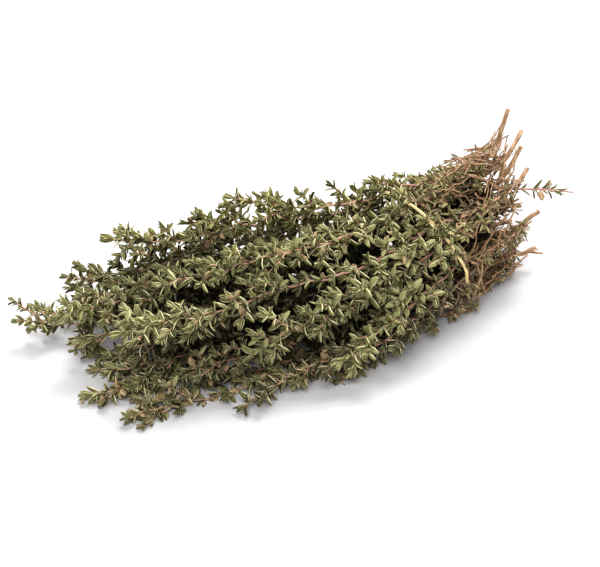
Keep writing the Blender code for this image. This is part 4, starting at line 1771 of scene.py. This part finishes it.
@dataclass
class Bundle:
    """The whole bundle: the sprigs, the backward sprig, the twig and the band.

    The ends, points and gaps are in millimetres in the plan's own frame. The tufts in covered lie over the
    band at those angles round the bundle, in degrees. How fresh a drawn look is has a usual value, what is
    added on the far side and how much it varies. The share of dry leaves has a usual value, and grows by
    the second number for what the freshness lacks to the third.
    """

    plan: Plan = field(default_factory=Plan)
    finishes: Finishes = field(default_factory=Finishes)
    backward_ends: tuple[tuple[float, ...], ...] = ((96, 14, 39), (137, -2, 36))
    backward_arch: float = 1.5 * MM
    twig_points: tuple[tuple[float, ...], ...] = ((60, -16), (68, -18), (76, -18.5))
    twig_spur: tuple[float, ...] = (63, -23)
    twig_height: float = 0.8 * MM
    twig_radius: float = 0.75 * MM
    single_leaf_sprig: int = 7
    single_leaf_width: float = 3.0 * MM
    single_leaves: tuple[tuple[LeafKind, tuple[float, ...], tuple[float, ...], float], ...] = (
        (LeafKind.SPREAD, (24, -37, 19), (0.1, -0.25, 1.0), 8.0),
        (LeafKind.DRY, (20, -40, 8), (0.75, -0.45, -0.35), 9.5),
        (LeafKind.DRY, (26, -40, 3.5), (-0.6, -0.4, 0.7), 8.0),
        (LeafKind.FOLDED, (8, -41, 15), (-0.3, -0.8, 0.5), 8.5),
    )
    covered: tuple[float, ...] = (42, 54, 64, 71, 93, 130, 136, 156, 184, 191, 198)
    cover_half_angle: float = 22.5
    tuft_joints: int = 3
    tuft_step: float = 2.4
    tuft_start: float = 3.5
    tuft_lean: float = 0.2
    tuft_radius: float = 0.4 * MM
    tuft_scale: float = 0.78
    gap_branch: float = 1.7
    gap_radius: float = 0.5 * MM
    gap_joint: int = 9
    tones: tuple[float, float] = (0.08, 0.78)
    scales: tuple[float, float] = (0.88, 1.08)
    freshness: tuple[float, float, float] = (0.42, 0.5, 0.25)
    dryness: tuple[float, float, float] = (0.015, 0.09, 0.4)
    first_look: Look = Look(0.3, 0.3, 1.35)
    gaps: dict[int, tuple[tuple[float, ...], ...]] = field(default_factory=lambda: {
        1: ((12, 4, 33), (4, 8, 31)),
        2: ((8, -1, 32), (14, -3, 33), (3, -2, 31)),
    })
    looks: dict[str, Look] = field(default_factory=lambda: {
        "6a": Look(1.05, 0.0, 1.2),
        "7b": Look(0.85, 0.15, 1.1),
        "5a": Look(0.85, 0.3, 1.1),
        "6b": Look(0.75, 0.35, 1.1),
        "5b": Look(0.6, 0.8, 0.95),
        "8a": Look(0.5, 0.5, 1.05, 0.09),
        "8b": Look(0.5, 0.35, 1.0, 0.11),
        "12a": Look(0.5, 0.8, 0.95),
        "12b": Look(0.4, 0.8, 0.95),
        "10c": Look(0.5, 0.7, 0.76),
    })
    triangles: int = 0

    def __post_init__(self) -> None:
        """Model the leaf shapes and find the step from the plan's frame to the frame of the solids."""
        self.shapes = {kind: kind.value.build(f"leaf_{kind.name.lower()}") for kind in LeafKind}
        self.band = Band(self.plan.envelope)
        low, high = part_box("tie")
        step = (low + high) / 2 - self.band.centre()
        self.step = Vector((step.x, step.y, 0.0))

    def add(self, name: str, mesh: bpy.types.Mesh, material: bpy.types.Material, slot: str,
            nodes: list[str]) -> bpy.types.Object:
        """Put a mesh in the scene in place of its solids.

        Args:
            name: The name of the piece.
            mesh: The mesh, in the plan's frame.
            material: Its material.
            slot: The slot of that material. It is not used.
            nodes: The solids that it replaces.

        Returns:
            The piece.
        """
        mesh.transform(Matrix.Translation(self.step))
        mesh.materials.append(material)
        piece = bpy.data.objects.new(name, mesh)
        bpy.context.scene.collection.objects.link(piece)
        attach(piece, "root")
        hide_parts(*nodes)
        triangles = sum(len(face.vertices) - 2 for face in mesh.polygons)
        self.triangles += triangles
        log.info("%s: %d triangles", name, triangles)
        return piece

    def grower(self, number: int) -> Grower:
        """Make the grower of one sprig, with its own source of chance.

        Args:
            number: The sprig's number, or 0 for the backward sprig.

        Returns:
            The grower.
        """
        draw = random.Random(LEAF_SEED + number)
        foliage = Foliage(self.shapes, self.plan.envelope)
        return Grower(foliage, Stems(self.plan.envelope), draw, self.first_look)

    def look(self, route: ShootRoute, draw: random.Random) -> Look:
        """Give a shoot its look: its own one, or one that is drawn, fresher green on the far side.

        Args:
            route: The shoot's route.
            draw: The sprig's source of chance.

        Returns:
            The look.
        """
        usual, far, scatter = self.freshness
        fresh = usual + far * route.a + draw.uniform(-scatter, scatter)
        least_dry, growth, enough = self.dryness
        dry = least_dry + growth * max(0.0, enough - fresh)
        drawn = Look(draw.uniform(*self.tones), fresh, draw.uniform(*self.scales), dry)
        return self.looks.get(f"{route.sprig.number}{route.letter}", drawn)

    def add_single_leaves(self, foliage: Foliage) -> None:
        """Add the large pale leaves that stand out on the near side.

        Args:
            foliage: The leaves that they join.
        """
        tint, fresh = (1.0, 0.0, 0.0), 0.1
        for kind, base, direction, length in self.single_leaves:
            heading = Vector(direction).normalized()
            upper = UP - heading.orthogonal()
            size = length * MM, self.single_leaf_width
            foliage.add(Leaf(kind, Vector(base) * MM, heading, upper, *size, tint, fresh))

    def cover_band(self, route: SprigRoute, grower: Grower) -> None:
        """Lay the sprig's tufts over the band where they hide it.

        Args:
            route: The sprig's route.
            grower: Its grower.
        """
        nearest = math.cos(math.radians(self.cover_half_angle))
        for degrees in self.covered:
            angle = math.radians(degrees)
            if not route.outer or math.cos(angle - route.angle) < nearest:
                continue
            outward = Vector((0.0, math.cos(angle), math.sin(angle)))
            over = self.band.point(angle) + outward * MM
            direction = Vector((-1.0, 0.0, 0.0)).lerp(outward, self.tuft_lean).normalized()
            side, _ = across(direction, outward)
            for k in range(self.tuft_joints):
                point = over + direction * (self.tuft_step * k - self.tuft_start) * MM
                grower.clothe(Joint(point, direction, side, self.tuft_radius, 5 - k), self.tuft_scale, 3)

    def fill_gaps(self, route: SprigRoute, shoots: list[ShootRoute], grower: Grower) -> None:
        """Send leafy branches into the gaps that would let light through the middle.

        Args:
            route: The sprig's route.
            shoots: The routes of its shoots.
            grower: Its grower.
        """
        for gap in self.gaps.get(route.number, ()):
            goal = Vector(gap) * MM
            shoot = min(shoots, key=lambda shoot: (shoot.at(goal.x) - goal).length)
            offset = goal - shoot.at(goal.x)
            foot = shoot.at(goal.x + offset.length)
            along = Vector((-1.0, 0.0, 0.0))
            joint = Joint(foot, along, offset.normalized(), self.gap_radius, self.gap_joint)
            grower.branch(joint, 0.0, self.gap_branch * offset.length, 2)

    def build_sprig(self, route: SprigRoute) -> None:
        """Build one sprig: its wood, its shoots' stems and its leaves.

        Args:
            route: The sprig's route.
        """
        grower = self.grower(route.number)
        shoots = [shoot for shoot in self.plan.shoots if shoot.sprig is route]
        for shoot in shoots:
            grower.look = self.look(shoot, grower.draw)
            Shoot(shoot, grower).grow()
        nodes = [shoot.name for shoot in shoots]
        self.fill_gaps(route, shoots, grower)
        self.cover_band(route, grower)
        if route.number == self.single_leaf_sprig:
            self.add_single_leaves(grower.foliage)
        wood = Stems(self.plan.envelope)
        WoodyStem(route, grower).grow(wood)
        number, finishes = f"{route.number:02d}", self.finishes
        name = f"sprig_{number}"
        self.add(f"{name}_wood", wood.mesh(f"{name}_wood"), finishes.bark, "wood", [f"woody_stem_{number}"])
        self.add(f"{name}_stems", grower.stems.mesh(f"{name}_stems"), finishes.stem, "leaf", nodes)
        self.add(f"{name}_leaves", grower.foliage.mesh(f"{name}_leaves"), finishes.leaf, "leaf", nodes)

    def build_backward_sprig(self) -> None:
        """Build the short sprig that was tied in the wrong way round."""
        grower = self.grower(0)
        start, tip = (Vector(end) * MM for end in self.backward_ends)
        steps = 10
        points = []
        for i in range(steps + 1):
            t = i / steps
            points.append(start.lerp(tip, t) + UP * (self.backward_arch * 4.0 * t * (1.0 - t)))
        radii = [0.55 * MM - 0.2 * MM * i / steps for i in range(steps + 1)]
        grower.stems.grow(points, radii, [0.9 - 0.7 * i / steps for i in range(steps + 1)], 7)
        for joint in grower.joints(points[::-1], (7.5, 2.2, 2.6, 3.2, 4.0, 5.0), radii[-1]):
            if joint.index:
                grower.clothe(joint, 0.95, 1)
        nodes = ["leafy_shoot_backward"]
        self.add("backward_stem", grower.stems.mesh("backward_stem"), self.finishes.stem, "leaf", nodes)
        self.add("backward_leaves", grower.foliage.mesh("backward_leaves"), self.finishes.leaf, "leaf", nodes)

    def build_twig(self) -> None:
        """Build the bare forked twig on the surface."""
        height, radius = self.twig_height, self.twig_radius
        bends = [Vector((x * MM, y * MM, height)) for x, y in self.twig_points]
        tip = Vector((self.twig_spur[0] * MM, self.twig_spur[1] * MM, height))
        stems = Stems()
        line = [bends[0].lerp(bends[1], t) for t in (0.0, 0.35, 0.7)]
        line += [bends[1].lerp(bends[2], t) for t in (0.0, 0.5, 1.0)]
        stems.grow(line, [radius * s for s in (0.7, 0.85, 0.95, 1.1, 1.0, 0.95)], [1.0] * 6, 9, 0.9, cut=True)
        spur = [bends[1].lerp(tip, t) for t in (0.0, 0.3, 0.6, 1.0)]
        stems.grow(spur, [radius * s for s in (0.9, 0.8, 0.75, 0.6)], [1.0] * 4, 8, 0.9, cut=True)
        self.add("twig_bark", stems.mesh("twig_bark"), self.finishes.bark, "wood", ["floor_twig"])

    def build(self) -> None:
        """Build every piece."""
        for route in self.plan.sprigs:
            self.build_sprig(route)
        self.build_backward_sprig()
        self.build_twig()
        self.add("straw_band", self.band.build("straw_band"), self.finishes.straw, "straw", ["tie"])
        for shape in self.shapes.values():
            bpy.data.meshes.remove(shape)
        log.info("bundle: %d triangles", self.triangles)


@dataclass
class Studio:
    """The pale floor, the soft light and the camera at the photograph's viewing angle.

    Each sun has a name, its strength in watts for each square metre, how wide it is in the sky in degrees,
    and the way from the bundle to it.
    """

    azimuth: float = math.radians(-28.0)
    elevation: float = math.radians(30.0)
    distance: float = 0.75
    width_in_view: float = 0.252
    target: Vector = field(default_factory=lambda: Vector((-14.3, -8.4, 25.0)) * MM)
    floor_size: float = 8.0
    floor_colours: tuple[tuple[float, ...], ...] = ((0.50, 0.50, 0.51), (0.52, 0.52, 0.53))
    sky: tuple[float, ...] = (1.0, 0.97, 0.92, 1.0)
    sky_strength: float = 0.37
    contrast: str = "Medium High Contrast"
    suns: tuple[tuple[str, float, float, tuple[float, ...]], ...] = (
        ("key_light", 3.9, 34.0, (0.5, 0.55, 1.05)),
        ("fill_light", 2.8, 44.0, (-0.5, -0.7, 1.05)),
    )

    def build(self) -> None:
        """Build the studio."""
        self._floor()
        self._light()
        self._camera()

    def _floor(self) -> None:
        """Lay the floor."""
        bm = bmesh.new()
        bmesh.ops.create_grid(bm, x_segments=1, y_segments=1, size=self.floor_size / 2)
        mesh = bpy.data.meshes.new("floor")
        bm.to_mesh(mesh)
        bm.free()
        graph = NodeGraph("studio_floor")
        grit = graph.noise(graph.place(), 300.0)
        colour = graph.colours(grit, dict(zip((0.0, 1.0), self.floor_colours)))
        material = graph.finish(colour, roughness=0.9, height=grit, depth=0.0, strength=0.0, specular=0.1)
        mesh.materials.append(material)
        floor = bpy.data.objects.new("floor", mesh)
        bpy.context.scene.collection.objects.link(floor)

    def _light(self) -> None:
        """Set the warm white surroundings, a soft key light from behind and a softer one over the camera."""
        scene = bpy.context.scene
        world = bpy.data.worlds.new("studio")
        world.use_nodes = True
        background = world.node_tree.nodes["Background"]
        background.inputs["Color"].default_value = self.sky
        background.inputs["Strength"].default_value = self.sky_strength
        scene.world = world
        scene.view_settings.view_transform = "Standard"
        scene.view_settings.look = self.contrast
        for name, power, spread, away in self.suns:
            self._sun(name, power, spread, Vector(away))

    def _sun(self, name: str, power: float, spread: float, away: Vector) -> None:
        """Aim an even light at the bundle.

        Args:
            name: The light's name.
            power: Its strength in watts for each square metre.
            spread: How wide it is in the sky, in degrees.
            away: The way from the bundle to the light.
        """
        lamp = bpy.data.lights.new(name, "SUN")
        lamp.energy = power
        lamp.angle = math.radians(spread)
        light = bpy.data.objects.new(name, lamp)
        light.location = self.target + away
        light.rotation_euler = (-away).to_track_quat("-Z", "Y").to_euler()
        bpy.context.scene.collection.objects.link(light)

    def _camera(self) -> None:
        """Place the camera."""
        level, height = math.cos(self.elevation), math.sin(self.elevation)
        back = Vector((math.sin(self.azimuth) * level, -math.cos(self.azimuth) * level, height))
        data = bpy.data.cameras.new("camera")
        data.sensor_width = 36.0
        data.lens = data.sensor_width * self.distance / self.width_in_view
        data.clip_start, data.clip_end = 0.01, 30.0
        camera = bpy.data.objects.new("camera", data)
        camera.location = self.target + back * self.distance
        camera.rotation_euler = (-back).to_track_quat("-Z", "Y").to_euler()
        bpy.context.scene.collection.objects.link(camera)
        bpy.context.scene.camera = camera


def main() -> None:
    """Build the bundle and the studio."""
    logging.basicConfig(level=logging.INFO, format="%(message)s")
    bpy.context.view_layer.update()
    Bundle().build()
    Studio().build()


if __name__ == "__main__":
    main()
